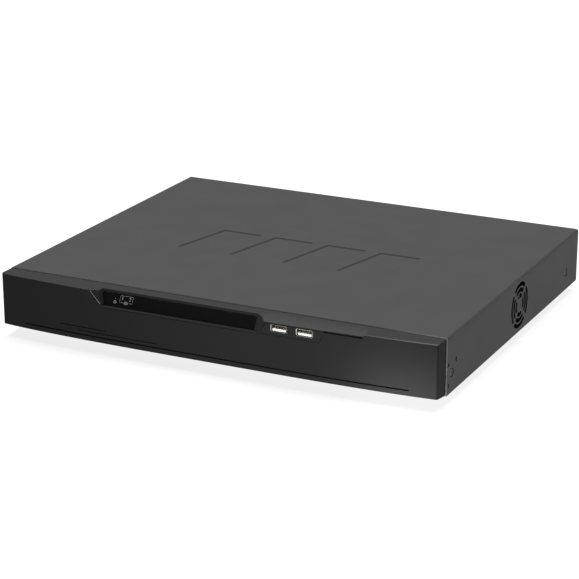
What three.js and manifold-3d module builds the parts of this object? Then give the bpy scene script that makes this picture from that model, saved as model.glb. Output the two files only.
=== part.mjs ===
// A 1U two-disk video recorder: folded steel tray and cover, bowed plastic front,
// disks, boards, mains supply and a side fan. Millimetres, +Z up, the front faces -Y,
// and the origin is the centre of the overall footprint on the surface it stands on.
import * as THREE from 'three';
import { ConvexGeometry } from 'three/addons/geometries/ConvexGeometry.js';
import { mergeVertices } from 'three/addons/utils/BufferGeometryUtils.js';
import Module from 'manifold-3d';

const wasm = await Module();
wasm.setup();

// ---- driving dimensions -------------------------------------------------
const CASE_W = 375;
const CASE_D = 297;
const CASE_H = 45.4;
const FOOT_H = 7.6;
const BEZEL_D = 20;
const JACK_OUT = 10;
const SHEET = 1;
const GAP = 0.3;
const STEP_UP = 0.4;

const HALF_W = CASE_W / 2;
const FRONT = -(BEZEL_D + CASE_D + JACK_OUT) / 2 + BEZEL_D;
const REAR = FRONT + CASE_D;
const BASE = FOOT_H;
const TOP = BASE + CASE_H;
const TRAY_LOW = BASE + STEP_UP;
const FLOOR_TOP = TRAY_LOW + SHEET;
const TRAY_HALF = HALF_W - SHEET - GAP;
const WALL_TOP = TOP - SHEET - GAP;

// ---- materials ----------------------------------------------------------
const finish = (color, roughness, metalness) => new THREE.MeshStandardMaterial({ color, roughness, metalness });
const LOOK = {
  cover: finish(0x585858, 0.55, 0.2),
  zinc: finish(0x9a9c9e, 0.4, 0.9),
  bezel: finish(0x3c3c3e, 0.5, 0),
  window: finish(0x131314, 0.08, 0),
  shell: finish(0xb4b6b8, 0.25, 0.95),
  tongue: finish(0xf0f0ec, 0.5, 0),
  board: finish(0x1f5a33, 0.5, 0),
  chip: finish(0x1a1a1b, 0.5, 0),
  alloy: finish(0x9da0a3, 0.35, 0.9),
  clear: finish(0xe6e8ea, 0.1, 0),
  cable: finish(0x8a8c90, 0.6, 0),
  red: finish(0xa02020, 0.6, 0),
  black: finish(0x18181a, 0.5, 0),
  rubber: finish(0x161616, 0.9, 0),
  green: finish(0x2c8a48, 0.5, 0),
  white: finish(0xe8e8e4, 0.5, 0),
  yellow: finish(0xb88a20, 0.5, 0),
  steel: finish(0x7c7e80, 0.35, 0.9),
};

// ---- solids -------------------------------------------------------------
// Shared corners are merged and slivers with two equal corners dropped before a boolean.
function solid(source) {
  const bare = source.clone();
  bare.deleteAttribute('normal');
  bare.deleteAttribute('uv');
  const merged = mergeVertices(bare, 1e-4);
  const all = Array.from(merged.index.array);
  const keep = [];
  for (let i = 0; i < all.length; i += 3) {
    const [a, b, c] = all.slice(i, i + 3);
    if (a !== b && b !== c && c !== a) keep.push(a, b, c);
  }
  const vertProperties = new Float32Array(merged.attributes.position.array);
  const triVerts = new Uint32Array(keep);
  return new wasm.Manifold(new wasm.Mesh({ numProp: 3, vertProperties, triVerts }));
}

function toGeometry(body) {
  const made = body.getMesh();
  const geometry = new THREE.BufferGeometry();
  geometry.setAttribute('position', new THREE.BufferAttribute(new Float32Array(made.vertProperties), 3));
  geometry.setIndex(new THREE.BufferAttribute(new Uint32Array(made.triVerts), 1));
  geometry.computeVertexNormals();
  return geometry;
}

const join = (...bodies) => bodies.reduce((sum, body) => sum.add(body));
const cut = (body, ...tools) => tools.reduce((rest, tool) => rest.subtract(tool), body);

const box = (x0, x1, y0, y1, z0, z1) => solid(
  new THREE.BoxGeometry(x1 - x0, y1 - y0, z1 - z0).translate((x0 + x1) / 2, (y0 + y1) / 2, (z0 + z1) / 2));

const boxAt = (x, y, z, w, d, h) => box(x - w / 2, x + w / 2, y - d / 2, y + d / 2, z, z + h);

const outline = (points) => new THREE.Shape(points.map(([a, b]) => new THREE.Vector2(a, b)));

const extrude = (shape, depth, curveSegments = 6) => new THREE.ExtrudeGeometry(
  shape, { depth, bevelEnabled: false, curveSegments });

// An (x, y) outline carried up from z0 to z1.
const alongZ = (shape, z0, z1, segments) => solid(extrude(shape, z1 - z0, segments).translate(0, 0, z0));

// An (x, z) outline carried back from y0 to y1.
const alongY = (shape, y0, y1, segments) => solid(
  extrude(shape, y1 - y0, segments).rotateX(Math.PI / 2).translate(0, y1, 0));

// A (y, z) outline carried to the right from x0 to x1.
const YZX = new THREE.Matrix4().makeBasis(
  new THREE.Vector3(0, 1, 0), new THREE.Vector3(0, 0, 1), new THREE.Vector3(1, 0, 0));
const alongX = (shape, x0, x1, segments) => solid(
  extrude(shape, x1 - x0, segments).applyMatrix4(YZX).translate(x0, 0, 0));

// A round body about the axis that passes through `at`, from an (r, height) profile.
function turned(axis, at, profile, segments = 16) {
  const spun = new THREE.LatheGeometry(profile.map(([r, h]) => new THREE.Vector2(r, h)), segments);
  if (axis === 'z') spun.rotateX(Math.PI / 2);
  if (axis === 'x') spun.rotateZ(-Math.PI / 2);
  return solid(spun.translate(...at));
}

const rod = (axis, at, r, h0, h1, segments = 12) => turned(
  axis, at, [[0, h0], [r, h0], [r, h1], [0, h1]], segments);

// A skin stretched over equal rings of points, closed by a fan at each end.
function loft(rings) {
  const n = rings[0].length;
  const corners = rings.flat(2);
  const faces = [];
  for (let i = 0; i + 1 < rings.length; i += 1) {
    for (let k = 0; k < n; k += 1) {
      const a = i * n + k;
      const b = i * n + ((k + 1) % n);
      faces.push(a, b, b + n, a, b + n, a + n);
    }
  }
  const last = (rings.length - 1) * n;
  for (let k = 1; k + 1 < n; k += 1) {
    faces.push(0, k + 1, k, last, last + k, last + k + 1);
  }
  const geometry = new THREE.BufferGeometry();
  geometry.setAttribute('position', new THREE.Float32BufferAttribute(corners, 3));
  geometry.setIndex(faces);
  return solid(geometry);
}

const convex = (points) => solid(new ConvexGeometry(points.map((p) => new THREE.Vector3(...p))));

const group = new THREE.Group();

function place(name, body, look) {
  const part = new THREE.Mesh(toGeometry(body), look);
  part.name = name;
  group.add(part);
}

// ---- tray ---------------------------------------------------------------
const FOOT_X = 158;
const FOOT_Y = [FRONT + 25, REAR - 27];
const SCREW_Z = BASE + 15.5;
const SCREW_Y = [FRONT + 10.2, FRONT + 268];
const FAN_Y = FRONT + 154;
const FAN_Z = BASE + 22.4;
const FLANGE_TOP = BASE + 26;

// Sockets in the rear wall: centre x, centre z, and the size of their cut-out.
const BOARD_Z = FLOOR_TOP + 5;
const BOARD_T = 1.6;
const DECK = BOARD_Z + BOARD_T;
const REAR_PORTS = {
  audio_in: { x: -160, z: DECK + 8, w: 9.2, h: 9.2 },
  audio_out: { x: -143, z: DECK + 8, w: 9.2, h: 9.2 },
  video: { x: -114, z: DECK + 7, w: 19, h: 10.4 },
  hdmi: { x: -80, z: DECK + 3.3, w: 15.8, h: 7 },
  usb: { x: -56, z: DECK + 3.6, w: 14, h: 6.8 },
  network: { x: -30, z: DECK + 6.9, w: 16.8, h: 14 },
  alarm: { x: 26, z: DECK + 5.2, w: 63, h: 10.4 },
  rocker: { x: 112, z: BASE + 20, w: 13.6, h: 19.6 },
  mains: { x: 148, z: BASE + 20, w: 27.8, h: 20.8 },
};
const DISK_X = [-99, 21];
const DISK_W = 101.6;
const DISK_L = 147;
const DISK_FRONT = FRONT + 18;
const DISK_Z = FLOOR_TOP + 4.5;
const DISK_HOLES = [[-47.6, 28.5], [47.6, 28.5], [-47.6, 105], [47.6, 105]];
const BOARD_POSTS = [[-172, 178], [-60, 178], [55, 178], [-172, 262], [-60, 262], [55, 262]];
const SUPPLY_POSTS = [[96, 190], [174, 190], [96, 262], [174, 262]];
const CLIP_X = [-130, 130];
const RIBBON_X = -39;
const MOUNT_SHIFT = 0.92;
const PAD_R = 5;
const POST_R = 3;
const REAR_VENTS = { count: 15, first: -163, pitch: 15, w: 9, h: 3, z: BASE + 36 };
const FAN_HOLE_R = 19;
const TRAY_SCREW_R = 2.2;
const FOOT_HOLE_R = 3;
const GROUND = { x: -177, z: BASE + 12, holeR: 2.2 };

function tray() {
  const floor = box(-TRAY_HALF, TRAY_HALF, FRONT + GAP, REAR, TRAY_LOW, FLOOR_TOP);
  const walls = [-1, 1].map((side) => {
    const edges = [side * TRAY_HALF, side * (TRAY_HALF - SHEET)].sort((a, b) => a - b);
    return box(edges[0], edges[1], FRONT + GAP, REAR, TRAY_LOW, FLANGE_TOP);
  });
  const front = box(-TRAY_HALF, TRAY_HALF, FRONT + GAP, FRONT + GAP + SHEET, TRAY_LOW, WALL_TOP);
  const rear = box(-TRAY_HALF, TRAY_HALF, REAR - SHEET, REAR, TRAY_LOW, WALL_TOP);
  const pads = DISK_X.flatMap((x) => DISK_HOLES.map(([dx, dy]) => rod(
    'z', [x + dx * MOUNT_SHIFT, DISK_FRONT + dy, 0], PAD_R, FLOOR_TOP - 0.5, DISK_Z - 0.1, 8)));
  const posts = [...BOARD_POSTS, ...SUPPLY_POSTS].map(([x, dy]) => rod(
    'z', [x, FRONT + dy, 0], POST_R, FLOOR_TOP - 0.5, BOARD_Z - 0.1, 6));
  const body = join(floor, ...walls, front, rear, ...pads, ...posts);

  const ports = Object.values(REAR_PORTS).map(({ x, z, w, h }) => box(
    x - w / 2, x + w / 2, REAR - 2 * SHEET, REAR + 1, z - h / 2, z + h / 2));
  const { count, first, pitch, w: ventW, h: ventH, z: ventZ } = REAR_VENTS;
  const vents = Array.from({ length: count }, (_, i) => boxAt(first + i * pitch, REAR, ventZ, ventW, 4, ventH));
  const fanHole = rod('x', [0, FAN_Y, FAN_Z], FAN_HOLE_R, TRAY_HALF - 3, TRAY_HALF + 1, 24);
  const screws = SCREW_Y.map((y) => rod('x', [0, y, SCREW_Z], TRAY_SCREW_R, -HALF_W, HALF_W, 10));
  const feet = FOOT_Y.flatMap((y) => [-FOOT_X, FOOT_X].map((x) => rod('z', [x, y, 0], FOOT_HOLE_R, BASE, FLOOR_TOP + 1, 8)));
  const clips = CLIP_X.map((x) => boxAt(x, FRONT + 1, BASE + 18, 13, 4, 5));
  const ribbonSlot = boxAt(RIBBON_X, FRONT + 1, BASE + 26, 18, 4, 9);
  const ground = rod('y', [GROUND.x, REAR, GROUND.z], GROUND.holeR, -3, 2, 8);
  return cut(body, ...ports, ...vents, fanHole, ...screws, ...feet, ...clips, ribbonSlot, ground);
}

// ---- cover --------------------------------------------------------------
const BEND = 2;
const PANEL_COUNT = 4;
const PANEL_PITCH = 48;
const PANEL_W = 36;
const PANEL_FIRST = -95;
const PANEL_FRONT = FRONT + 106;
const PANEL_REAR = FRONT + 165;
const PANEL_LEAN = 14;
const PANEL_SINK = 0.5;
const SLOT_PLACES = [[3.4, 21.9, 25], [18.2, 21.2, 25.3], [4, 5.2, 8.6]];
const SLOT_W = 1.2;
const COVER_HOLE_R = 3.4;
const LEFT_VENTS = { count: 9, first: FRONT + 120, pitch: 8, w: 3, low: BASE + 12, high: BASE + 33 };

// The fan grille is three rings of slots, each broken by four bridges.
const GRILLE_RINGS = [[6.4, 9.2], [11.1, 13.9], [15.9, 18.7]];
const GRILLE_BRIDGE = 2.6;

function grilleSlots(face) {
  return GRILLE_RINGS.flatMap(([inner, outer]) => Array.from({ length: 4 }, (_, k) => {
    const middle = k * Math.PI / 2;
    const halfIn = Math.PI / 4 - GRILLE_BRIDGE / 2 / inner;
    const halfOut = Math.PI / 4 - GRILLE_BRIDGE / 2 / outer;
    const shape = new THREE.Shape();
    shape.absarc(FAN_Y, FAN_Z, outer, middle - halfOut, middle + halfOut, false);
    shape.absarc(FAN_Y, FAN_Z, inner, middle + halfIn, middle - halfIn, true);
    return alongX(shape, face - 3, face + 1, 5);
  }));
}

// The folded section: flat top, two bends, two sides, open below.
function coverSection() {
  const w = HALF_W;
  const inner = w - SHEET;
  const ceiling = TOP - SHEET;
  const section = new THREE.Shape();
  section.moveTo(w, BASE);
  section.lineTo(w, TOP - BEND);
  section.absarc(w - BEND, TOP - BEND, BEND, 0, Math.PI / 2, false);
  section.absarc(-w + BEND, TOP - BEND, BEND, Math.PI / 2, Math.PI, false);
  section.lineTo(-w, BASE);
  section.lineTo(-inner, BASE);
  section.absarc(-inner + SHEET, ceiling - SHEET, SHEET, Math.PI, Math.PI / 2, true);
  section.absarc(inner - SHEET, ceiling - SHEET, SHEET, Math.PI / 2, 0, true);
  section.lineTo(inner, BASE);
  return section;
}

function cover() {
  const sheet = alongY(coverSection(), FRONT, REAR, 4);
  const panels = Array.from({ length: PANEL_COUNT }, (_, i) => {
    const x = PANEL_FIRST + i * PANEL_PITCH;
    const corners = [[x, PANEL_FRONT], [x + PANEL_W, PANEL_FRONT],
      [x + PANEL_W + PANEL_LEAN, PANEL_REAR], [x + PANEL_LEAN, PANEL_REAR]];
    return alongZ(outline(corners), TOP - PANEL_SINK, TOP + 1);
  });
  const screws = SCREW_Y.map((y) => rod('x', [0, y, SCREW_Z], COVER_HOLE_R, -HALF_W - 1, HALF_W + 1, 14));
  const slots = SLOT_PLACES.map(([dy, z0, z1]) => box(
    -HALF_W - 1, HALF_W + 1, FRONT + dy - SLOT_W / 2, FRONT + dy + SLOT_W / 2, BASE + z0, BASE + z1));
  const { count, first, pitch, w: ventW, low, high } = LEFT_VENTS;
  const leftVents = Array.from({ length: count }, (_, i) => box(
    -HALF_W - 1, -HALF_W + 2, first + i * pitch, first + i * pitch + ventW, low, high));
  return cut(sheet, ...panels, ...screws, ...slots, ...leftVents, ...grilleSlots(HALF_W));
}

// A countersunk machine screw through the cover into the tray's side flange.
function coverScrew(side, y) {
  const sunk = 0.2;
  const headDepth = 1.6;
  const length = 7;
  const profile = [[0, length], [1.5, length], [1.5, headDepth], [3, sunk], [0, sunk]].map(
    ([r, depth]) => [r, side * (HALF_W - depth)]);
  return turned('x', [0, y, SCREW_Z], side > 0 ? profile : profile.reverse(), 12);
}

// ---- front bezel ----------------------------------------------------------
const BEZEL_HALF = HALF_W - 1.1;
const BEZEL_TOP = TOP - 0.5;
const BEZEL_END_D = 14.7;
const BEZEL_WALL = 2.2;
const BOW_POWER = 3.7;
const CORNER_START = 0.995;
const CORNER_FALL = 160;
const STATIONS = [-1, -0.995, -0.97, -0.93, -0.88, -0.82, -0.74, -0.64, -0.5, -0.3, 0,
  0.3, 0.5, 0.64, 0.74, 0.82, 0.88, 0.93, 0.97, 0.995, 1];

// How far the face stands ahead of the cover: flat in the middle, falling away to the ends.
function bow(x) {
  const reach = Math.min(Math.abs(x) / BEZEL_HALF, 1);
  const corner = Math.max(0, reach - CORNER_START) * CORNER_FALL;
  return BEZEL_END_D + (BEZEL_D - BEZEL_END_D) * (1 - reach ** BOW_POWER) - corner;
}

// The bezel's envelope, shrunk by `inset` on the face, ends, top and bottom.
function bezelForm(inset, backEdge) {
  const half = BEZEL_HALF - inset;
  const soft = 0.8;
  return loft(STATIONS.map((t) => {
    const x = t * half;
    const face = FRONT - bow(x) + inset;
    const low = TRAY_LOW + inset;
    return [
      [x, backEdge, low], [x, backEdge, BEZEL_TOP - inset], [x, face + soft, BEZEL_TOP - inset],
      [x, face, BEZEL_TOP - inset - soft], [x, face, low + 2.6], [x, face + soft, low + 1.9],
    ];
  }));
}

// The window sits in a wedge-shaped pocket that is open above.
const POCKET_FLOOR = BASE + 33;
const POCKET_TILT = 5.1 / 11.9;
const pocketBack = (z) => FRONT - 16.4 + (z - POCKET_FLOOR) * POCKET_TILT;
const pocketLeft = (y, z) => -102.8 + (0.975 * (y - FRONT + 19.2)) - 0.874 * (z - BASE - 44.9);
const pocketRight = (y, z) => 50 - 0.774 * (y - FRONT + 19.7) + 0.504 * (z - BASE - 44.9);

function pocketSlab(z0, z1, nearOf, farOf, grow) {
  const corners = [];
  for (const z of [z0, z1]) {
    for (const y of [nearOf(z), farOf(z)]) {
      const wallY = Math.min(y, pocketBack(z));
      corners.push([pocketLeft(wallY, z) - grow, y, z], [pocketRight(wallY, z) + grow, y, z]);
    }
  }
  return convex(corners);
}

// The socket insert is a trapezium let into the face to the right of the window.
const INSERT = [[45.2, 33.2], [94.4, 33.2], [98.6, 42.2], [49.8, 42.2]];
const insertOutline = (grow) => outline(INSERT.map(([x, z], i) => [
  x + (i === 0 || i === 3 ? -grow : grow), BASE + z + (i < 2 ? -grow : grow)]));
const USB_X = [61, 82];
const USB_Z = BASE + 38.5;
const USB_W = 13.6;
const USB_H = 5.4;

function grooveInFace(form, x0, x1, z0, z1, depth) {
  const skin = cut(form, bezelForm(depth, FRONT - 1));
  return skin.intersect(box(x0, x1, FRONT - 30, FRONT - 8, BASE + z0, BASE + z1));
}

function bezel() {
  const form = bezelForm(0, FRONT - 0.1);
  const hollow = bezelForm(BEZEL_WALL, FRONT + 1);
  const housing = box(-106, 50, FRONT - 18.4, FRONT - 8.4, POCKET_FLOOR - 2.4, BEZEL_TOP - 1);
  const clips = CLIP_X.map((x) => boxAt(x, FRONT + 0.5, BASE + 18.6, 11, 8, 1.8));
  const clipRoots = CLIP_X.map((x) => box(x - 5.5, x + 5.5, FRONT - 16.6, FRONT - 3, BASE + 18.6, BASE + 20.4));
  const hooks = CLIP_X.map((x) => box(x - 5.5, x + 5.5, FRONT + 2, FRONT + 4.4, BASE + 20, BASE + 22));
  const whole = join(cut(form, hollow), housing, ...clips, ...clipRoots, ...hooks);

  const pocket = pocketSlab(POCKET_FLOOR, TOP + 1, () => FRONT - 30, (z) => pocketBack(z) + GAP, 0);
  const seat = pocketSlab(POCKET_FLOOR - 1.2, POCKET_FLOOR + 10.2, pocketBack, () => FRONT - 5, 1.3);
  const opening = alongY(insertOutline(0), FRONT - 30, FRONT - 8);
  const slope = alongX(outline([
    [FRONT - 13.7, TOP], [FRONT - 22, TOP], [FRONT - 22, TOP - 3.2]]), 46, 129.4);
  const lipGroove = grooveInFace(form, 98, 129, 41.6, 42.9, 1.5);
  const longGroove = grooveInFace(form, -164, 165, 6.3, 7.4, 1.7);
  const markGrooves = [
    grooveInFace(form, -130.5, -88, 12.6, 13.3, 0.5),
    grooveInFace(form, -115, -43, 9.7, 10.4, 0.5),
  ];
  return cut(whole, pocket, seat, opening, slope, lipGroove, longGroove, ...markGrooves);
}

const indicatorWindow = () => pocketSlab(POCKET_FLOOR - 1, POCKET_FLOOR + 10,
  (z) => pocketBack(z) + 0.1, (z) => pocketBack(z) + 2.1, 1);

function usbInsert() {
  const plate = alongY(insertOutline(-0.25), FRONT - 30, FRONT - 13.5).intersect(bezelForm(0.05, FRONT - 1));
  const flange = box(52, 101, FRONT - 16.8, FRONT - 15.4, BASE + 31.4, BASE + 42.3);
  const sockets = USB_X.map((x) => boxAt(x, FRONT - 18, USB_Z - USB_H / 2 - 0.3, USB_W + 0.6, 12, USB_H + 0.6));
  return cut(join(plate, flange), ...sockets);
}

// ---- sockets of the USB kind, used at the front and at the rear ---------------
function usbShell(x, z, mouth, inward) {
  const back = mouth + inward * 14;
  const [y0, y1] = [mouth, back].sort((a, b) => a - b);
  const skin = 0.4;
  const hollowEnd = back - inward * 1;
  const [h0, h1] = [mouth - inward, hollowEnd].sort((a, b) => a - b);
  const outer = box(x - USB_W / 2, x + USB_W / 2, y0, y1, z - USB_H / 2, z + USB_H / 2);
  const inner = box(x - USB_W / 2 + skin, x + USB_W / 2 - skin, h0, h1, z - USB_H / 2 + skin, z + USB_H / 2 - skin);
  return cut(outer, inner);
}

const usbTongue = (x, z, mouth, inward) => {
  const [y0, y1] = [mouth + inward * 0.6, mouth + inward * 12.7].sort((a, b) => a - b);
  return box(x - 5.6, x + 5.6, y0, y1, z - USB_H / 2 + 0.6, z - USB_H / 2 + 2.5);
};

// ---- front board ------------------------------------------------------------
const FRONT_BOARD_Z = BASE + 33.8;
const USB_MOUTH = FRONT - 19.2;

function frontBoard() {
  const sheet = box(-98, 100, FRONT - 8, FRONT - 1.6, FRONT_BOARD_Z, FRONT_BOARD_Z + 1.4);
  const tab = box(50, 94, FRONT - 13, FRONT - 1.6, FRONT_BOARD_Z, FRONT_BOARD_Z + 1.4);
  const header = boxAt(RIBBON_X, FRONT - 4, FRONT_BOARD_Z - 4, 14, 4, 5);
  return join(sheet, tab, header);
}

// Three rods on one rail carry the light of the board's lamps to the window.
const LIGHT_X = [-82.4, -76.1, -69.5];

function lightGuide() {
  const rail = box(-86, -66, FRONT - 6.4, FRONT - 4, FRONT_BOARD_Z + 4, FRONT_BOARD_Z + 6);
  const rods = LIGHT_X.map((x) => box(x - 1, x + 1, FRONT - 10.6, FRONT - 6, FRONT_BOARD_Z + 4, FRONT_BOARD_Z + 6));
  const legs = [-85, -67].map((x) => box(x - 1, x + 1, FRONT - 6.4, FRONT - 4, FRONT_BOARD_Z + 1.5, FRONT_BOARD_Z + 5));
  return join(rail, ...rods, ...legs);
}

// ---- flat and round leads -----------------------------------------------------
// A flat lead that runs in one plane of constant x: the route's centre line is thickened.
function flatLead(route, x, width, thick, steps) {
  const line = new THREE.SplineCurve(route.map(([y, z]) => new THREE.Vector2(y, z)));
  const upper = [];
  const lower = [];
  for (let i = 0; i <= steps; i += 1) {
    const p = line.getPoint(i / steps);
    const t = line.getTangent(i / steps);
    upper.push([p.x - t.y * thick / 2, p.y + t.x * thick / 2]);
    lower.unshift([p.x + t.y * thick / 2, p.y - t.x * thick / 2]);
  }
  return alongX(outline([...upper, ...lower]), x - width / 2, x + width / 2);
}

function roundLead(route, r, steps) {
  const extrudePath = new THREE.CatmullRomCurve3(route.map((p) => new THREE.Vector3(...p)));
  const section = new THREE.Shape().absarc(0, 0, r, 0, 2 * Math.PI, false);
  return solid(new THREE.ExtrudeGeometry(section, { extrudePath, steps, curveSegments: 4 }));
}

// ---- disks ------------------------------------------------------------------
const PLATTER_R = 47.5;
const PLATTER_DY = 51.5;
const BASIN_Z = DISK_Z + 6;
const LID_Z = DISK_Z + 23;
const PIVOT = [24, PLATTER_DY + 53];
const ARM_L = 50;
const ARM_PARK = 191.1 * Math.PI / 180;

function diskCasting(x) {
  const body = boxAt(x, DISK_FRONT + DISK_L / 2, DISK_Z, DISK_W, DISK_L, LID_Z - DISK_Z);
  const basin = rod('z', [x, DISK_FRONT + PLATTER_DY, 0], PLATTER_R + 1.2, BASIN_Z, LID_Z + 1, 32);
  const bay = box(x - 47, x + 47, DISK_FRONT + 78, DISK_FRONT + 136, BASIN_Z, LID_Z + 1);
  const plugBay = box(x - 36, x + 20, DISK_FRONT + DISK_L - 7, DISK_FRONT + DISK_L + 1, DISK_Z - 1, DISK_Z + 4.5);
  const holes = DISK_HOLES.map(([dx, dy]) => rod('z', [x + dx * 0.92, DISK_FRONT + dy, 0], 1.6, DISK_Z - 1, DISK_Z + 4, 6));
  return cut(body, basin, bay, plugBay, ...holes);
}

function diskLid(x) {
  const plate = boxAt(x, DISK_FRONT + DISK_L / 2, LID_Z + 0.1, DISK_W - 3, DISK_L - 4, 1.3);
  const rib = rod('z', [x, DISK_FRONT + PLATTER_DY, 0], 42, LID_Z + 1, LID_Z + 1.9, 32);
  return join(plate, rib);
}

function diskPlatters(x) {
  const z = BASIN_Z;
  const t = 1.3;
  const profile = [[0, z + 0.6], [13, z + 0.6]];
  for (const level of [3, 8.5]) {
    profile.push([13, z + level], [PLATTER_R, z + level], [PLATTER_R, z + level + t], [13, z + level + t]);
  }
  profile.push([13, z + 14], [11, z + 15], [0, z + 15]);
  return turned('z', [x, DISK_FRONT + PLATTER_DY, 0], profile, 20);
}

// The head arm turns on its post between parked, off the platters, and the inner track.
function diskArm(x) {
  const px = x + PIVOT[0];
  const py = DISK_FRONT + PIVOT[1];
  const post = rod('z', [px, py, 0], 6.5, BASIN_Z + 0.6, BASIN_Z + 14.6, 12);
  const blade = outline([[0, -4.5], [ARM_L - 4, -2], [ARM_L, -1.2], [ARM_L, 1.2], [ARM_L - 4, 2], [0, 4.5]]);
  const coil = outline([[0, -5], [-18, -10], [-20, -6], [-20, 6], [-18, 10], [0, 5]]);
  const swing = (shape, z0, z1) => solid(
    extrude(shape, z1 - z0).rotateZ(ARM_PARK).translate(px, py, z0));
  const blades = [1.2, 5.6, 11.2].map((dz) => swing(blade, BASIN_Z + dz, BASIN_Z + dz + 1));
  return join(post, ...blades, swing(coil, BASIN_Z + 5, BASIN_Z + 9));
}

function diskBoard(x) {
  const sheet = boxAt(x, DISK_FRONT + 93, DISK_Z - 1.4, 66, 98, 1.2);
  const plug = box(x - 34, x + 16, DISK_FRONT + DISK_L - 6.4, DISK_FRONT + DISK_L - 0.6, DISK_Z - 1.4, DISK_Z + 3.8);
  const chips = [[-18, 80, 12], [12, 92, 9], [-10, 112, 7]].map(([dx, dy, s]) => boxAt(
    x + dx, DISK_FRONT + dy, DISK_Z - 2.4, s, s, 1.1));
  return join(sheet, plug, ...chips);
}

// ---- main board ----------------------------------------------------------------
const MAIN = { x0: -179, x1: 62, y0: FRONT + 172, y1: REAR - 2 };
const CPU = [-60, FRONT + 222];
const CELL = [20, FRONT + 235];
const DATA_X = DISK_X.map((x) => x - 24);
const POWER_X = DISK_X.map((x) => x - 2);
const HEADER_Y = FRONT + 189;

function mainBoard() {
  const sheet = box(MAIN.x0, MAIN.x1, MAIN.y0, MAIN.y1, BOARD_Z, DECK);
  const memory = [-42, -26, 8, 24].map((dx) => boxAt(CPU[0] + dx, CPU[1] - 26, DECK - 0.1, 11, 14, 1.2));
  const codec = boxAt(-120, FRONT + 240, DECK - 0.1, 14, 14, 1.4);
  const phy = boxAt(-30, FRONT + 262, DECK - 0.1, 10, 10, 1.2);
  const cans = [[-160, 200], [-148, 200], [-136, 200], [48, 205], [48, 218]].map(([x, dy]) => rod(
    'z', [x, FRONT + dy, 0], 4, DECK - 0.1, DECK + 9, 10));
  const coils = [[-118, 200], [-104, 200]].map(([x, dy]) => boxAt(x, FRONT + dy, DECK - 0.1, 10, 10, 5));
  const data = DATA_X.map((x) => boxAt(x, HEADER_Y, DECK - 0.1, 15, 6, 6));
  const power = POWER_X.map((x) => boxAt(x, HEADER_Y, DECK - 0.1, 12, 6, 8));
  const ribbon = boxAt(RIBBON_X, FRONT + 179, DECK - 0.1, 16, 5, 5);
  const supply = boxAt(56, FRONT + 245, DECK - 0.1, 8, 20, 8);
  const fan = boxAt(54, FRONT + 190, DECK - 0.1, 8, 6, 5);
  return join(sheet, ...memory, codec, phy, ...cans, ...coils, ...data, ...power, ribbon, supply, fan);
}

const processor = () => boxAt(CPU[0], CPU[1], DECK + 0.1, 27, 27, 2);

function heatsink() {
  const size = 42;
  const base = boxAt(CPU[0], CPU[1], DECK + 2.2, size, size, 2.6);
  const count = 9;
  const fins = Array.from({ length: count }, (_, i) => boxAt(
    CPU[0] - size / 2 + 0.7 + i * (size - 1.4) / (count - 1), CPU[1], DECK + 4.5, 1.4, size, 9.5));
  return join(base, ...fins);
}

function cellHolder() {
  const cup = boxAt(CELL[0], CELL[1], DECK + 0.1, 24, 23, 4.2);
  const well = rod('z', [...CELL, 0], 10.4, DECK + 1, DECK + 5, 20);
  return cut(cup, well);
}

const clockCell = () => turned('z', [...CELL, 0], [
  [0, DECK + 1.2], [8.6, DECK + 1.2], [9, DECK + 2], [10, DECK + 2.2], [10, DECK + 4.4], [0, DECK + 4.4]], 20);

// ---- rear sockets ----------------------------------------------------------------
function audioJack({ x, z }) {
  const body = box(x - 6.5, x + 6.5, REAR - 12, REAR - SHEET - 0.2, DECK + 0.1, z + 6.5);
  const barrel = rod('y', [x, 0, z], 4.2, REAR - 2, REAR + JACK_OUT, 20);
  const bore = rod('y', [x, 0, z], 1.7, REAR, REAR + JACK_OUT + 1, 8);
  const moat = cut(rod('y', [x, 0, z], 3.7, REAR + 3, REAR + JACK_OUT + 1, 16),
    rod('y', [x, 0, z], 2.7, REAR + 2, REAR + JACK_OUT + 2, 16));
  return cut(join(body, barrel), bore, moat);
}

function videoSocket({ x, z }) {
  const body = box(x - 15.4, x + 15.4, REAR - 13, REAR - SHEET - 0.2, DECK + 0.1, z + 6);
  const nose = outline([[-8.2, 4], [8.2, 4], [7, -4], [-7, -4]].map(([a, b]) => [x + a, z + b]));
  return join(body, alongY(nose, REAR - 3, REAR + 5.6));
}

function hdmiSocket({ x, z }) {
  const outer = box(x - 7.5, x + 7.5, REAR - 12, REAR + 0.8, DECK + 0.1, DECK + 6.2);
  const mouth = outline([[-7, 2.2], [7, 2.2], [7, 0], [5.4, -2.2], [-5.4, -2.2], [-7, 0]].map(([a, b]) => [x + a, z + b]));
  const hollow = alongY(mouth, REAR - 10, REAR + 2);
  const tongue = box(x - 5, x + 5, REAR - 11, REAR - 0.6, z - 0.1, z + 0.9);
  return join(cut(outer, hollow), tongue);
}

function rearUsb({ x, z }) {
  const mouth = REAR + 0.8;
  const foot = box(x - 5, x + 5, REAR - 11, REAR - 4, DECK + 0.1, z - USB_H / 2 + 0.2);
  const tongueRoot = box(x - 5.6, x + 5.6, REAR - 12.6, REAR - 11.5, z - USB_H / 2 + 0.2, z - USB_H / 2 + 2.5);
  return join(usbShell(x, z, mouth, -1), foot, usbTongue(x, z, mouth, -1), tongueRoot);
}

const NETWORK_CAVITY = { w: 11.8, h: 8.2, deep: 12.5 };

function networkSocket({ x, z }) {
  const outer = box(x - 8.1, x + 8.1, REAR - 20.5, REAR + 0.8, DECK + 0.1, z + 6.7);
  const { w, h, deep } = NETWORK_CAVITY;
  const cavity = box(x - w / 2, x + w / 2, REAR + 0.8 - deep, REAR + 2, z - h / 2 + 0.8, z + h / 2 + 0.8);
  const latch = box(x - 3.1, x + 3.1, REAR + 0.8 - deep, REAR + 2, z - h / 2 - 1.6, z - h / 2 + 1);
  return cut(outer, cavity, latch);
}

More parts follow.
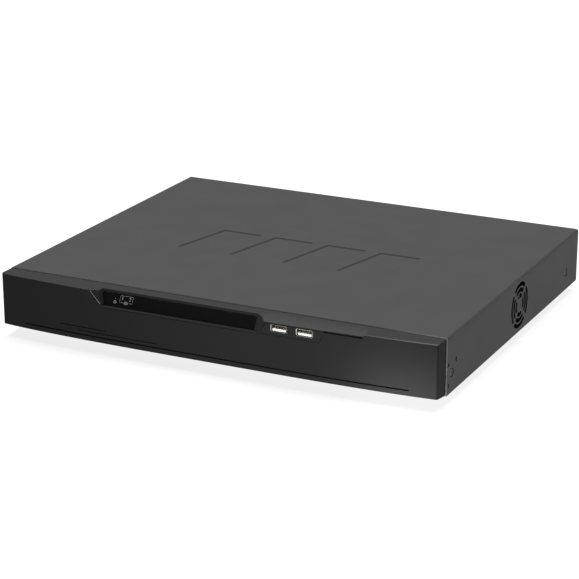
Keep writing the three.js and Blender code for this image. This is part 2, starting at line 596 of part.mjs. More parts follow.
// The alarm wires go into a plug that pulls off its header.
const POLES = 16;
const POLE_PITCH = 3.81;
const ALARM_W = POLES * POLE_PITCH;

function alarmHeader({ x }) {
  const outer = box(x - ALARM_W / 2 - 0.6, x + ALARM_W / 2 + 0.6, REAR - 9, REAR + 0.6, DECK + 0.1, DECK + 9.4);
  const hollow = box(x - ALARM_W / 2 + 0.4, x + ALARM_W / 2 - 0.4, REAR - 7.4, REAR + 2, DECK + 1.3, DECK + 8.4);
  return cut(outer, hollow);
}

function alarmPlug({ x }) {
  const half = ALARM_W / 2;
  const nose = box(x - half + 0.7, x + half - 0.7, REAR - 6, REAR + 1.5, DECK + 1.6, DECK + 8.1);
  const body = box(x - half, x + half, REAR + 0.9, REAR + 8.6, DECK + 0.2, DECK + 10.6);
  const holes = Array.from({ length: POLES }, (_, i) => {
    const px = x - half + (i + 0.5) * POLE_PITCH;
    return box(px - 1.3, px + 1.3, REAR + 4, REAR + 9, DECK + 2, DECK + 5);
  });
  const screws = Array.from({ length: POLES }, (_, i) => boxAt(
    x - half + (i + 0.5) * POLE_PITCH, REAR + 4.6, DECK + 9, 2.6, 2.6, 2));
  return cut(join(nose, body), ...holes, ...screws);
}

const groundScrew = () => turned('y', [GROUND.x, 0, GROUND.z], [
  [0, REAR - 5], [1.7, REAR - 5], [1.7, REAR + 0.2], [3.6, REAR + 0.2], [3.6, REAR + 1.6], [2.4, REAR + 2.4],
  [0, REAR + 2.4]], 12);

// ---- mains inlet and power switch -------------------------------------------------
const INLET_CAVITY = { w: 24.2, h: 16.4, deep: 17 };
const PIN_SHORT = 5;

function mainsInlet({ x, z, w, h }) {
  const flange = box(x - 15.6, x + 15.6, REAR + 0.1, REAR + 2.6, z - 12.2, z + 12.2);
  const body = box(x - w / 2 + 0.3, x + w / 2 - 0.3, REAR - 20, REAR + 1, z - h / 2 + 0.3, z + h / 2 - 0.3);
  const { w: cw, h: ch, deep } = INLET_CAVITY;
  const mouth = REAR + 2.6;
  const bevel = 4.5;
  const hole = outline([[-cw / 2, -ch / 2], [cw / 2, -ch / 2], [cw / 2, ch / 2 - bevel], [cw / 2 - bevel, ch / 2],
    [-cw / 2 + bevel, ch / 2], [-cw / 2, ch / 2 - bevel]].map(([a, b]) => [x + a, z + b]));
  const cavity = alongY(hole, mouth - deep, mouth + 1);
  const pins = [[-7, -2], [7, -2], [0, 2]].map(([dx, dz]) => boxAt(
    x + dx, mouth - deep / 2 - PIN_SHORT / 2 - 0.5, z + dz - 2, 2, deep - PIN_SHORT + 1, 4));
  const tabs = [[-7, -2], [7, -2], [0, 2]].map(([dx, dz]) => boxAt(x + dx, REAR - 23, z + dz - 2.4, 0.8, 7, 4.8));
  return join(cut(join(flange, body), cavity), ...pins, ...tabs);
}

function switchFrame({ x, z, w, h }) {
  const flange = box(x - 7.8, x + 7.8, REAR + 0.1, REAR + 2, z - 11, z + 11);
  const body = box(x - w / 2 + 0.3, x + w / 2 - 0.3, REAR - 15, REAR + 1, z - h / 2 + 0.3, z + h / 2 - 0.3);
  const well = box(x - 5.6, x + 5.6, REAR - 9, REAR + 3, z - 8.8, z + 8.8);
  const tabs = [-5, 5].map((dz) => boxAt(x, REAR - 18, z + dz - 2.4, 0.8, 7, 4.8));
  return join(cut(join(flange, body), well), ...tabs);
}

const ROCKER_PIVOT_Y = REAR - 0.6;
const ROCKER_THROW = 14 * Math.PI / 180;

// The rocker rests with its lower half pressed in and throws by 14 degrees about X.
function rocker({ x, z }) {
  const profile = outline([[3.4, -8], [2.3, 0], [3.4, 8], [-1, 8], [-4.4, 5], [-4.4, -5], [-1, -8]]);
  const block = extrude(profile, 10.6).applyMatrix4(YZX);
  block.rotateX(-ROCKER_THROW / 2);
  return solid(block.translate(x - 5.3, ROCKER_PIVOT_Y, z));
}

// ---- power supply -------------------------------------------------------------------
function supplyBoard() {
  const sheet = box(92, 179, FRONT + 184, FRONT + 268, BOARD_Z, DECK);
  const coolers = [[104, 215], [168, 228]].map(([x, dy]) => boxAt(x, FRONT + dy, DECK - 0.1, 3, 34, 22));
  const filter = boxAt(150, FRONT + 256, DECK - 0.1, 18, 12, 12);
  const cans = [[114, 192], [126, 192], [114, 240]].map(([x, dy]) => rod(
    'z', [x, FRONT + dy, 0], 5, DECK - 0.1, DECK + 16, 10));
  const output = boxAt(98, FRONT + 247, DECK - 0.1, 8, 20, 8);
  const input = boxAt(125, FRONT + 262, DECK - 0.1, 14, 7, 8);
  return join(sheet, ...coolers, filter, ...cans, output, input);
}

function transformer() {
  const [x, y] = [136, FRONT + 215];
  const core = cut(boxAt(x, y, DECK + 1.6, 33, 12, 24),
    boxAt(x, y, DECK + 6, 24, 14, 15));
  const winding = boxAt(x, y, DECK + 0.1, 22.6, 24, 22);
  return join(core, winding);
}

const mainsCapacitor = () => turned('z', [150, FRONT + 236, 0], [
  [0, DECK + 0.1], [9, DECK + 0.1], [9, DECK + 23.4], [8, DECK + 24.4], [0, DECK + 24.4]], 18);

// ---- fan ----------------------------------------------------------------------------
const FAN_X0 = TRAY_HALF - SHEET - 0.4 - 10;
const FAN_X1 = FAN_X0 + 10;

function fanFrame() {
  const half = 20;
  const block = box(FAN_X0, FAN_X1, FAN_Y - half, FAN_Y + half, FAN_Z - half, FAN_Z + half);
  const duct = rod('x', [0, FAN_Y, FAN_Z], 18.8, FAN_X0 - 1, FAN_X1 + 1, 28);
  const seat = rod('x', [0, FAN_Y, FAN_Z], 10, FAN_X0, FAN_X0 + 1.6, 16);
  const struts = [
    box(FAN_X0, FAN_X0 + 1.6, FAN_Y - 19, FAN_Y + 19, FAN_Z - 1.2, FAN_Z + 1.2),
    box(FAN_X0, FAN_X0 + 1.6, FAN_Y - 1.2, FAN_Y + 1.2, FAN_Z - 19, FAN_Z + 19),
  ];
  const holes = [[-16, -16], [-16, 16], [16, -16], [16, 16]].map(([dy, dz]) => rod(
    'x', [0, FAN_Y + dy, FAN_Z + dz], 1.8, FAN_X0 - 1, FAN_X1 + 1, 8));
  return cut(join(cut(block, duct), seat, ...struts), ...holes);
}

function fanRotor() {
  const hub = turned('x', [0, FAN_Y, FAN_Z], [
    [0, FAN_X0 + 2], [10.4, FAN_X0 + 2], [10.4, FAN_X1 - 1.2], [9.6, FAN_X1 - 0.4], [0, FAN_X1 - 0.4]], 20);
  const blades = Array.from({ length: 7 }, (_, i) => {
    const blade = new THREE.BoxGeometry(8.2, 1, 8.6);
    blade.rotateZ(0.7);
    blade.translate(0, 0, 13.6);
    blade.rotateX(i * 2 * Math.PI / 7);
    return solid(blade.translate((FAN_X0 + FAN_X1) / 2 + 0.6, FAN_Y, FAN_Z));
  });
  return join(hub, ...blades);
}

function fanBracket() {
  const x1 = FAN_X0 - 0.2;
  const plate = box(x1 - SHEET, x1, FAN_Y - 22, FAN_Y + 22, FLOOR_TOP + 0.1, FAN_Z + 20);
  const foot = box(x1 - 16, x1, FAN_Y - 22, FAN_Y + 22, FLOOR_TOP + 0.1, FLOOR_TOP + 0.1 + SHEET);
  const hole = rod('x', [0, FAN_Y, FAN_Z], 18.8, x1 - 3, x1 + 1, 24);
  return cut(join(plate, foot), hole);
}

// ---- feet --------------------------------------------------------------------------
const foot = (x, y) => turned('z', [x, y, 0], [
  [0, 0], [8.6, 0], [9.6, 1], [10.2, BASE + 0.2], [2.7, BASE + 0.2], [2.7, FLOOR_TOP + 0.3], [3.4, FLOOR_TOP + 0.6],
  [2.2, FLOOR_TOP + 3.4], [0, FLOOR_TOP + 3.4]], 14);

// ---- assembly ------------------------------------------------------------------------
const ports = REAR_PORTS;
place('base_tray', tray(), LOOK.zinc);
place('top_cover', cover(), LOOK.cover);
place('front_bezel', bezel(), LOOK.bezel);
place('indicator_window', indicatorWindow(), LOOK.window);
place('usb_port_insert', usbInsert(), LOOK.bezel);
USB_X.forEach((x, i) => {
  place(`front_usb_shell_${i + 1}`, usbShell(x, USB_Z, USB_MOUTH, 1), LOOK.shell);
  place(`front_usb_tongue_${i + 1}`, usbTongue(x, USB_Z, USB_MOUTH, 1), LOOK.tongue);
});
place('front_panel_board', frontBoard(), LOOK.board);
place('light_guide', lightGuide(), LOOK.clear);
place('front_panel_cable', flatLead([
  [FRONT - 4, FRONT_BOARD_Z - 4.4], [FRONT - 3.4, FRONT_BOARD_Z - 6], [FRONT + 4, FRONT_BOARD_Z - 3.4],
  [FRONT + 14, FRONT_BOARD_Z - 6], [FRONT + 60, DECK + 6], [FRONT + 120, DECK + 6], [FRONT + 165, DECK + 12],
  [FRONT + 177, DECK + 12], [FRONT + 179, DECK + 5.4]], RIBBON_X, 12, 0.9, 40), LOOK.cable);
place('main_board', mainBoard(), LOOK.board);
place('processor', processor(), LOOK.chip);
place('heatsink', heatsink(), LOOK.alloy);
place('clock_cell_holder', cellHolder(), LOOK.black);
place('clock_cell', clockCell(), LOOK.shell);
place('network_socket', networkSocket(ports.network), LOOK.shell);
place('hdmi_socket', hdmiSocket(ports.hdmi), LOOK.shell);
place('video_socket', videoSocket(ports.video), LOOK.shell);
place('rear_usb_socket', rearUsb(ports.usb), LOOK.shell);
place('audio_in_jack', audioJack(ports.audio_in), LOOK.white);
place('audio_out_jack', audioJack(ports.audio_out), LOOK.red);
place('alarm_header', alarmHeader(ports.alarm), LOOK.green);
place('alarm_plug', alarmPlug(ports.alarm), LOOK.green);
place('ground_screw', groundScrew(), LOOK.steel);
DISK_X.forEach((x, i) => {
  const tag = `disk_${i + 1}`;
  place(`${tag}_casting`, diskCasting(x), LOOK.alloy);
  place(`${tag}_lid`, diskLid(x), LOOK.alloy);
  place(`${tag}_platters`, diskPlatters(x), LOOK.shell);
  place(`${tag}_head_arm`, diskArm(x), LOOK.alloy);
  place(`${tag}_board`, diskBoard(x), LOOK.board);
  const back = DISK_FRONT + DISK_L;
  const lead = (top) => [[back, DISK_Z + 1.2], [back + 5, DISK_Z + 3], [back + 9, DISK_Z + 16],
    [back + 17, DISK_Z + 21], [HEADER_Y, DISK_Z + 16], [HEADER_Y, top]];
  place(`${tag}_data_lead`, flatLead(lead(DECK + 6.4), DATA_X[i], 8, 1.4, 24), LOOK.red);
  place(`${tag}_power_lead`, flatLead(lead(DECK + 8.4), POWER_X[i], 10, 1.4, 24), LOOK.black);
});
place('power_supply_board', supplyBoard(), LOOK.board);
place('transformer', transformer(), LOOK.yellow);
place('mains_capacitor', mainsCapacitor(), LOOK.black);
place('mains_inlet', mainsInlet(ports.mains), LOOK.black);
place('power_switch_frame', switchFrame(ports.rocker), LOOK.black);
place('power_rocker', rocker(ports.rocker), LOOK.black);
place('mains_lead', roundLead([
  [125, FRONT + 262, DECK + 8.4], [125, FRONT + 262, DECK + 14], [126, FRONT + 268, DECK + 19],
  [130, REAR - 24, BASE + 36], [141, REAR - 27, BASE + 33], [141, REAR - 27, BASE + 22.5]], 1.8, 14), LOOK.black);
place('low_voltage_lead', roundLead([
  [98, FRONT + 246, DECK + 8.4], [97, FRONT + 246, DECK + 14], [88, FRONT + 247, DECK + 20],
  [70, FRONT + 246, DECK + 20], [57, FRONT + 245, DECK + 15], [56, FRONT + 245, DECK + 8.4]], 2.2, 14), LOOK.red);
place('fan_frame', fanFrame(), LOOK.black);
place('fan_rotor', fanRotor(), LOOK.black);
place('fan_bracket', fanBracket(), LOOK.zinc);
place('fan_lead', roundLead([
  [FAN_X0 + 3, FAN_Y + 21.4, FAN_Z + 12], [FAN_X0 - 2, FAN_Y + 26, FAN_Z + 13], [150, FRONT + 182, FAN_Z + 15],
  [110, FRONT + 178, FAN_Z + 14], [72, FRONT + 182, FAN_Z + 6], [56, FRONT + 190, DECK + 14],
  [54, FRONT + 190, DECK + 5.4]], 1.2, 20), LOOK.black);
FOOT_Y.forEach((y, row) => {
  [-FOOT_X, FOOT_X].forEach((x, col) => {
    place(`foot_${row ? 'rear' : 'front'}_${col ? 'right' : 'left'}`, foot(x, y), LOOK.rubber);
  });
});
SCREW_Y.forEach((y, row) => {
  [-1, 1].forEach((side) => {
    place(`cover_screw_${row ? 'rear' : 'front'}_${side > 0 ? 'right' : 'left'}`, coverScrew(side, y), LOOK.steel);
  });
});

export default group;
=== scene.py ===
# %% [markdown]
# A desktop video recorder in a folded steel case, dressed around its CAD model.
# The CAD model gives the sizes: this script asks it for the corners of its pieces and works
# from them. Three directions are enough to place everything, because the case is a box: across
# from its middle, back from the cover's front edge, and up from the cover's lower edge.

# %% Load the frame
import math

import bmesh
import bpy
import numpy as np
from mathutils import Matrix, Vector


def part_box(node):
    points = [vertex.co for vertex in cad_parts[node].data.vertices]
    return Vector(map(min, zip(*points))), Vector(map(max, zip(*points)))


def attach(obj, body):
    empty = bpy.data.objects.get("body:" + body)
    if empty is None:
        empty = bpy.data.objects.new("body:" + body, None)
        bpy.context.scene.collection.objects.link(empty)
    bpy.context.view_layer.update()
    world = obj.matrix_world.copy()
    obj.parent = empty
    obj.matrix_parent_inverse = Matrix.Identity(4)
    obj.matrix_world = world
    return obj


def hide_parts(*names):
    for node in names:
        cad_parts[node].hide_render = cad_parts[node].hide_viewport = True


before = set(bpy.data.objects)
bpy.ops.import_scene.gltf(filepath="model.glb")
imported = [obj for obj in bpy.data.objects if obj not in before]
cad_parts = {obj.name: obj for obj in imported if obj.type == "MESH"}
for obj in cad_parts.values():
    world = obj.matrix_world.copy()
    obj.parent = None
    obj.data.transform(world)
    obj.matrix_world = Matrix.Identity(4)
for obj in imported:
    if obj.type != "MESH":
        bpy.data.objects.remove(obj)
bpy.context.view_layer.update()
MM = 0.001
cover_low, cover_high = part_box("top_cover")
ORIGIN = np.array([0, cover_low.y, cover_low.z])


def box_of(node):
    """The lowest and the highest corner of a CAD node, in case millimetres."""
    low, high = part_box(node)
    return (np.array(low) - ORIGIN) / MM, (np.array(high) - ORIGIN) / MM


HALF_W = cover_high.x / MM
DEEP, TOP = box_of("top_cover")[1][1:]
SHEET, BEND = 1.0, 2.0
print("cover", round(2 * HALF_W, 1), "wide,", round(DEEP, 1), "deep,", round(TOP, 1), "mm high")

# %% [markdown]
# A long lens far away keeps the case's edges nearly parallel, as a catalogue picture does.
# The camera is built from its own three directions, so its frame needs no shift.

# %% Camera
AZIMUTH, ELEVATION = math.radians(26.05), math.radians(18.89)
DISTANCE, LENS = 1.6718, 125.83
AIM_ACROSS, AIM_UP = -10.9 * MM, -13.1 * MM
AIM_POINT = Vector((0, 0.005, 0.0303))

scene = bpy.context.scene
back = Vector((math.sin(AZIMUTH) * math.cos(ELEVATION),
               -math.cos(AZIMUTH) * math.cos(ELEVATION),
               math.sin(ELEVATION)))
across = Vector((0, 0, 1)).cross(back).normalized()
upward = back.cross(across)
spot = AIM_POINT + back * DISTANCE + across * AIM_ACROSS + upward * AIM_UP
camera = bpy.data.objects.new("camera", bpy.data.cameras.new("camera"))
camera.data.lens, camera.data.sensor_width = LENS, 36
turned_to = Matrix((across, upward, back)).transposed().to_4x4()
camera.matrix_world = Matrix.Translation(spot) @ turned_to
scene.collection.objects.link(camera)
scene.camera = camera
print("camera at", [round(v, 3) for v in spot])

# %% [markdown]
# A studio for a dark object: the white surround gives an even fill, and a broad overhead sun makes
# the lid the brightest face. A small lamp ahead of the front lets it fall off to both ends with the
# square of the distance, and a low strip close to the right corner fades it from bottom to top. The
# Standard view transform keeps a grey paint the grey it was given.

# %% Light
scene.view_settings.view_transform = "Standard"
world = bpy.data.worlds.new("studio")
scene.world = world
world.use_nodes = True
world.node_tree.nodes["Background"].inputs["Color"].default_value = (1, 1, 1, 1)
world.node_tree.nodes["Background"].inputs["Strength"].default_value = 0.1


def soft_light(name, place, target, wide, high, watts):
    """An area light, its sides in metres, turned so that it faces the target."""
    lamp = bpy.data.lights.new(name, "AREA")
    lamp.shape, lamp.size, lamp.size_y, lamp.energy = "RECTANGLE", wide, high, watts
    holder = bpy.data.objects.new(name, lamp)
    turn = (Vector(target) - Vector(place)).to_track_quat("-Z", "Y")
    holder.matrix_world = Matrix.Translation(place) @ turn.to_matrix().to_4x4()
    holder.visible_camera = False
    scene.collection.objects.link(holder)


sun = bpy.data.lights.new("overhead", "SUN")
sun.energy, sun.angle = 4.4, math.radians(50)
sky = bpy.data.objects.new("overhead", sun)
sky.matrix_world = Vector((-0.12, 0.25, 1)).to_track_quat("Z", "Y").to_matrix().to_4x4()
scene.collection.objects.link(sky)
soft_light("front", (0.06, -0.36, 0.03), (0.06, -0.1, 0.03), 0.05, 0.05, 0.2)
soft_light("low_right", (0.168, -0.2, 0.006), (0.168, -0.1, 0.006), 0.07, 0.006, 0.055)


# %% [markdown]
# The shapes are arrays of points on a grid of two parameters: along the piece and around it.
# Faces join each point to its neighbours, so a whole surface is one numpy array. Where holes
# go through a surface, a second shape cuts them, because a cut edge then stays exactly crisp.

# %% Mesh tools
def finish_mesh(piece, degrees=35):
    """Turns every face outwards and shades smooth, except across edges sharper than the angle."""
    work = bmesh.new()
    work.from_mesh(piece.data)
    bmesh.ops.remove_doubles(work, verts=work.verts, dist=1e-6)
    bmesh.ops.recalc_face_normals(work, faces=work.faces)
    for face in work.faces:
        face.smooth = True
    for edge in work.edges:
        edge.smooth = len(edge.link_faces) == 2 and edge.calc_face_angle(0) < math.radians(degrees)
    work.to_mesh(piece.data)
    work.free()
    return piece


def new_piece(name, points, faces):
    """A mesh object from points in case millimetres."""
    mesh = bpy.data.meshes.new(name)
    placed = np.asarray(points, float).reshape(-1, 3) * MM + ORIGIN
    mesh.from_pydata(placed.tolist(), [], faces)
    piece = bpy.data.objects.new(name, mesh)
    scene.collection.objects.link(piece)
    return finish_mesh(piece)


def grid(name, points, closed=False, caps=False):
    """A (u, v, 3) array of points as quads.
    closed joins the last v to the first, and caps close the two ends of u."""
    nu, nv, _ = points.shape
    index = np.arange(nu * nv).reshape(nu, nv)
    ends = [index[0, ::-1].tolist(), index[-1].tolist()] if caps else []
    if closed:
        index = np.hstack([index, index[:, :1]])
    quads = np.stack((index[:-1, :-1], index[1:, :-1], index[1:, 1:], index[:-1, 1:]), -1)
    return new_piece(name, points, quads.reshape(-1, 4).tolist() + ends)


def prism(name, outline, axis, low, high):
    """A closed outline of (a, b) points carried along an axis (0, 1 or 2) from low to high."""
    points = np.insert(np.asarray(outline, float)[None].repeat(2, 0), axis, 0, axis=2)
    points[0, :, axis], points[1, :, axis] = low, high
    return grid(name, points, closed=True, caps=True)


def block(name, low, high):
    """A box from its lowest to its highest corner, for cutters and parts of larger pieces."""
    (a, b), (c, d) = low[:2], high[:2]
    return prism(name, [(a, b), (c, b), (c, d), (a, d)], 2, low[2], high[2])


def turned(name, profile, axis, centre, segments=48):
    """A profile of (radius, height) turned about an axis: r cos t, r sin t, h."""
    radius, height = np.asarray(profile, float).T
    t = np.linspace(0, 2 * np.pi, segments, endpoint=False)
    a, b = [k for k in range(3) if k != axis]
    points = np.zeros((len(radius), segments, 3))
    points[:, :, a] = np.outer(radius, np.cos(t))
    points[:, :, b] = np.outer(radius, np.sin(t))
    points[:, :, axis] = height[:, None]
    return grid(name, points + np.asarray(centre, float), closed=True, caps=True)


def rounded(width, height, radius, steps=5):
    """The outline of a rectangle with round corners, centred on zero."""
    t = np.linspace(0, np.pi / 2, steps)
    arcs = []
    for k, (sx, sz) in enumerate(((1, 1), (-1, 1), (-1, -1), (1, -1))):
        x, z, turn = (width / 2 - radius) * sx, (height / 2 - radius) * sz, t + k * np.pi / 2
        arcs.append(np.stack((x + radius * np.cos(turn), z + radius * np.sin(turn)), -1))
    return np.concatenate(arcs)


def rear_block(low, high, radius, rear):
    """A block as wide and high as a CAD node's box, with round corners, from its front to rear."""
    middle = ((low[0] + high[0]) / 2, (low[2] + high[2]) / 2)
    line = rounded(high[0] - low[0], high[2] - low[2], radius) + middle
    return prism("body", line, 1, low[1], rear)


def hull(name, points):
    """The skin stretched over a handful of corners, for wedge-shaped cutters."""
    work = bmesh.new()
    for point in np.asarray(points, float) * MM + ORIGIN:
        work.verts.new(point)
    bmesh.ops.convex_hull(work, input=work.verts)
    mesh = bpy.data.meshes.new(name)
    work.to_mesh(mesh)
    work.free()
    piece = bpy.data.objects.new(name, mesh)
    scene.collection.objects.link(piece)
    return finish_mesh(piece)


def applied(piece):
    """The piece with its modifiers made part of its mesh."""
    bpy.context.view_layer.update()
    graph = bpy.context.evaluated_depsgraph_get()
    made = bpy.data.meshes.new_from_object(piece.evaluated_get(graph))
    piece.modifiers.clear()
    piece.data = made
    return piece


def carve(piece, cutters, operation="DIFFERENCE", wall=0):
    """Cuts the cutters out of the piece, or joins them on; new walls take the slot `wall`."""
    for cutter in cutters:
        cutter.data.polygons.foreach_set("material_index", [wall] * len(cutter.data.polygons))
        tool = piece.modifiers.new("carve", "BOOLEAN")
        tool.operation, tool.solver, tool.object = operation, "EXACT", cutter
        applied(piece)
        bpy.data.objects.remove(cutter)
    return piece


def soften(piece, width, segments=2, degrees=40):
    """Rounds edges sharper than the angle, by width in mm; large faces then rule the shading."""
    bevel = piece.modifiers.new("soften", "BEVEL")
    bevel.width, bevel.segments = width * MM, segments
    bevel.limit_method, bevel.angle_limit = "ANGLE", math.radians(degrees)
    finish_mesh(applied(piece))
    even = piece.modifiers.new("even", "WEIGHTED_NORMAL")
    even.weight, even.keep_sharp = 100, True
    return applied(piece)


def thicken(piece, thick, rim=0):
    """Gives a sheet its thickness on the inner side; its cut edges take the material slot `rim`."""
    solid = piece.modifiers.new("thicken", "SOLIDIFY")
    solid.thickness, solid.offset, solid.material_offset_rim = thick * MM, -1, rim
    return finish_mesh(applied(piece))


def joined(name, pieces):
    """One piece from several, each face keeping its own material."""
    work, slots = bmesh.new(), []
    for piece in pieces:
        start = len(work.faces)
        work.from_mesh(piece.data)
        work.faces.ensure_lookup_table()
        own = list(piece.data.materials)
        slots += [m for m in own if m not in slots]
        for face in work.faces[start:]:
            face.material_index = slots.index(own[face.material_index])
        bpy.data.objects.remove(piece)
    mesh = bpy.data.meshes.new(name)
    work.to_mesh(mesh)
    work.free()
    for material in slots:
        mesh.materials.append(material)
    whole = bpy.data.objects.new(name, mesh)
    scene.collection.objects.link(whole)
    return whole


def dress(piece, *materials):
    """Puts the materials in the piece's slots."""
    piece.data.materials.clear()
    for material in materials:
        piece.data.materials.append(material)
    return piece


def settle(piece, body, slot, *nodes):
    """The piece moves with a body and stands for these CAD nodes, which it hides; slot is not used.
    """
    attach(piece, body)
    if nodes:
        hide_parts(*nodes)
    return piece


print("mesh tools ready")


# %% [markdown]
# Every material is one principled shader with at most a few noise textures. They read the
# object's own coordinates, in metres, so the grain keeps its real size on every piece. Colours
# are the hex values of a swatch, and one function turns them into linear light.

# %% Material tools
def linear(swatch):
    """The linear colour of an sRGB hex value: each channel is divided by 12.92 or raised to 2.4."""
    values = [int(swatch[i:i + 2], 16) / 255 for i in (0, 2, 4)]
    return [v / 12.92 if v <= 0.04045 else ((v + 0.055) / 1.055) ** 2.4 for v in values] + [1.0]


def add(material, kind, inputs, **settings):
    """One shader node: inputs fills its sockets with values or with other nodes' outputs."""
    made = material.node_tree.nodes.new("ShaderNode" + kind)
    for key, value in settings.items():
        setattr(made, key, value)
    for name, value in inputs.items():
        if isinstance(value, bpy.types.NodeSocket):
            material.node_tree.links.new(value, made.inputs[name])
        else:
            made.inputs[name].default_value = value
    return made


def surface(name, swatch, roughness, metallic=0.0, **sockets):
    """A material with one principled shader whose sockets are set directly."""
    material = bpy.data.materials.new(name)
    material.use_nodes = True
    shader = material.node_tree.nodes["Principled BSDF"]
    shader.inputs["Base Color"].default_value = linear(swatch)
    shader.inputs["Roughness"].default_value = roughness
    shader.inputs["Metallic"].default_value = metallic
    for key, value in sockets.items():
        shader.inputs[key.replace("_", " ")].default_value = value
    return material


def feed(material, socket, output):
    """Links an output into one of the principled shader's sockets."""
    material.node_tree.links.new(output, material.node_tree.nodes["Principled BSDF"].inputs[socket])


def noise(material, size, detail=3.0, stretch=(1, 1, 1)):
    """Noise whose grains are `size` millimetres across, in object coordinates."""
    where = add(material, "TexCoord", {}).outputs["Object"]
    placed = add(material, "Mapping", {"Vector": where, "Scale": stretch}).outputs["Vector"]
    grains = {"Vector": placed, "Scale": 1 / (size * MM), "Detail": detail}
    return add(material, "TexNoise", grains).outputs["Fac"]


def grain(material, size, height, **how):
    """Bumps of noise `height` millimetres tall."""
    bump = add(material, "Bump", {"Height": noise(material, size, **how), "Distance": height * MM})
    feed(material, "Normal", bump.outputs["Normal"])
    return material


NOISE_LOW, NOISE_HIGH = 0.3, 0.7


def wander(material, size, dark, light, rough=None, **how):
    """Colour wanders between two swatches, and roughness between two values, over patches."""
    factor = noise(material, size, **how)
    ramp = add(material, "ValToRGB", {"Fac": factor})
    stops = zip(ramp.color_ramp.elements, (NOISE_LOW, NOISE_HIGH), (dark, light))
    for element, place, swatch in stops:
        element.position, element.color = place, linear(swatch)
    feed(material, "Base Color", ramp.outputs["Color"])
    if rough:
        span = add(material, "MapRange", {
            "Value": factor, "From Min": NOISE_LOW, "From Max": NOISE_HIGH,
            "To Min": rough[0], "To Max": rough[1]})
        feed(material, "Roughness", span.outputs["Result"])
    return material


# %% Materials
# Polyester powder coat with a fine leather texture, baked on phosphated steel.
powder = grain(surface("powder_coat", "474747", 0.55, Specular_IOR_Level=0.06), 0.45, 0.012)
wander(powder, 30, "464646", "484848", (0.52, 0.58))
# The cut edges of the coated sheet, painted lighter than the coat: a painted highlight.
cut_edge_highlight = surface("cut_edge_painted_highlight", "707072", 0.4)
# The walls of the punched holes, painted near black: painted shade inside the holes.
hole_wall_shade = surface("hole_wall_painted_shade", "1c1c1e", 0.6, Specular_IOR_Level=0.1)
# Hot-dip galvanised sheet: crystals a few millimetres across, each reflecting a little differently.
zinc = surface("galvanised_sheet", "a4a6a8", 0.38, 1.0)
wander(zinc, 2.5, "9b9da0", "a9abad", (0.34, 0.44), detail=1.0)
# Injection-moulded ABS from a spark-eroded tool, which leaves a fine satin grain.
moulding = grain(surface("spark_textured_abs", "292929", 0.5, Specular_IOR_Level=0.0), 0.3, 0.01)
# The same plastic where the tool was etched coarser, on the ledge beside the cover.
moulding_top = grain(surface("etched_abs", "292929", 0.6, Specular_IOR_Level=0.2), 0.4, 0.015)
# The same plastic on the end faces, with a coarser grain and painted a lighter grey: painted light
# on the ends.
moulding_ends_lit = grain(surface("abs_ends_painted_light", "383838", 0.6, Specular_IOR_Level=0.0), 0.4, 0.015)
# A light grey for the crease into the window's pocket: a painted highlight.
crease_highlight = surface("crease_painted_highlight", "7c7c7c", 0.4, Specular_IOR_Level=0.3)


def fading(name, start, stop, near, far, roughness):
    """A colour that changes along x between two places in metres, for a painted highlight that grows
    towards a corner.
    """
    material = surface(name, near, roughness, Specular_IOR_Level=0.1)
    where = add(material, "TexCoord", {}).outputs["Object"]
    split = add(material, "SeparateXYZ", {"Vector": where})
    along = {"Value": split.outputs["X"], "From Min": start, "From Max": stop}
    span = add(material, "MapRange", along)
    shade = add(material, "ValToRGB", {"Fac": span.outputs["Result"]})
    for element, swatch in zip(shade.color_ramp.elements, (near, far)):
        element.color = linear(swatch)
    feed(material, "Base Color", shade.outputs["Color"])
    return material


# The moulding's upper edge, painted brighter towards the right corner: a painted highlight.
edge_highlight = fading("moulding_edge_painted_highlight", 0.11, 0.17, "242424", "5c5c5c", 0.4)
# The cover's front edge, painted brighter towards the right corner: a painted highlight.
cover_edge_highlight = fading("cover_edge_highlight", 0.135, 0.175, "474747", "7a7a7a", 0.5)
# Smoked acrylic, back-printed: deep, even and glossy.
smoked = surface("smoked_acrylic", "111112", 0.16, Specular_IOR_Level=0.12)
# Pad-printed ink for the marks on the window.
ink = surface("pad_printed_ink", "a0a2a4", 0.6)
# Nickel-plated brass and steel for the sockets, drawn thin.
nickel = surface("bright_nickel", "b8b6b0", 0.25, 1.0)
wander(nickel, 2, "a8a6a0", "c4c2bc", (0.2, 0.32))
# Gold flashed on phosphor bronze contacts.
gold = surface("gold_flash", "d8b060", 0.25, 1.0)
# White glass-filled nylon for the tongues of the sockets.
tongue_white = grain(surface("white_nylon", "f2f2ee", 0.5), 0.2, 0.004)
# Black glass-filled nylon for frames, sockets and the fan.
nylon = grain(surface("black_nylon", "18181a", 0.48), 0.25, 0.006)
# The rocker of the mains switch, polished harder than its frame.
rocker_plastic = surface("glossy_polycarbonate", "141415", 0.22)
# Cover screws in black zinc, close to the coat around them.
black_zinc = surface("black_zinc", "3a3a3c", 0.5, 0.2)
wander(black_zinc, 1.5, "343436", "404042", (0.45, 0.55))
# Zinc-plated machine screws, with a faint yellow-blue passivation.
screw_zinc = surface("zinc_plate", "b0b2b4", 0.3, 1.0)
wander(screw_zinc, 1.5, "9c9ea4", "c2c0ba", (0.24, 0.4))
# Moulded rubber feet: matt, with a dusty bloom.
rubber = grain(surface("moulded_rubber", "1a1a1a", 0.85), 0.5, 0.02)
wander(rubber, 4, "161616", "222221", (0.8, 0.95))
# Epoxy-glass board under green solder mask, its weave barely showing.
laminate = grain(surface("solder_mask", "1c5a32", 0.35), 0.5, 0.005)
wander(laminate, 5, "17502b", "236638", (0.3, 0.42))
# Transfer-moulded epoxy of the chips.
epoxy = grain(surface("moulded_epoxy", "19191b", 0.62), 0.15, 0.004)
# Extruded aluminium, anodised.
anodised = grain(surface("anodised_extrusion", "a8abae", 0.4, 1.0), 0.4, 0.006, stretch=(1, 0.05, 1))
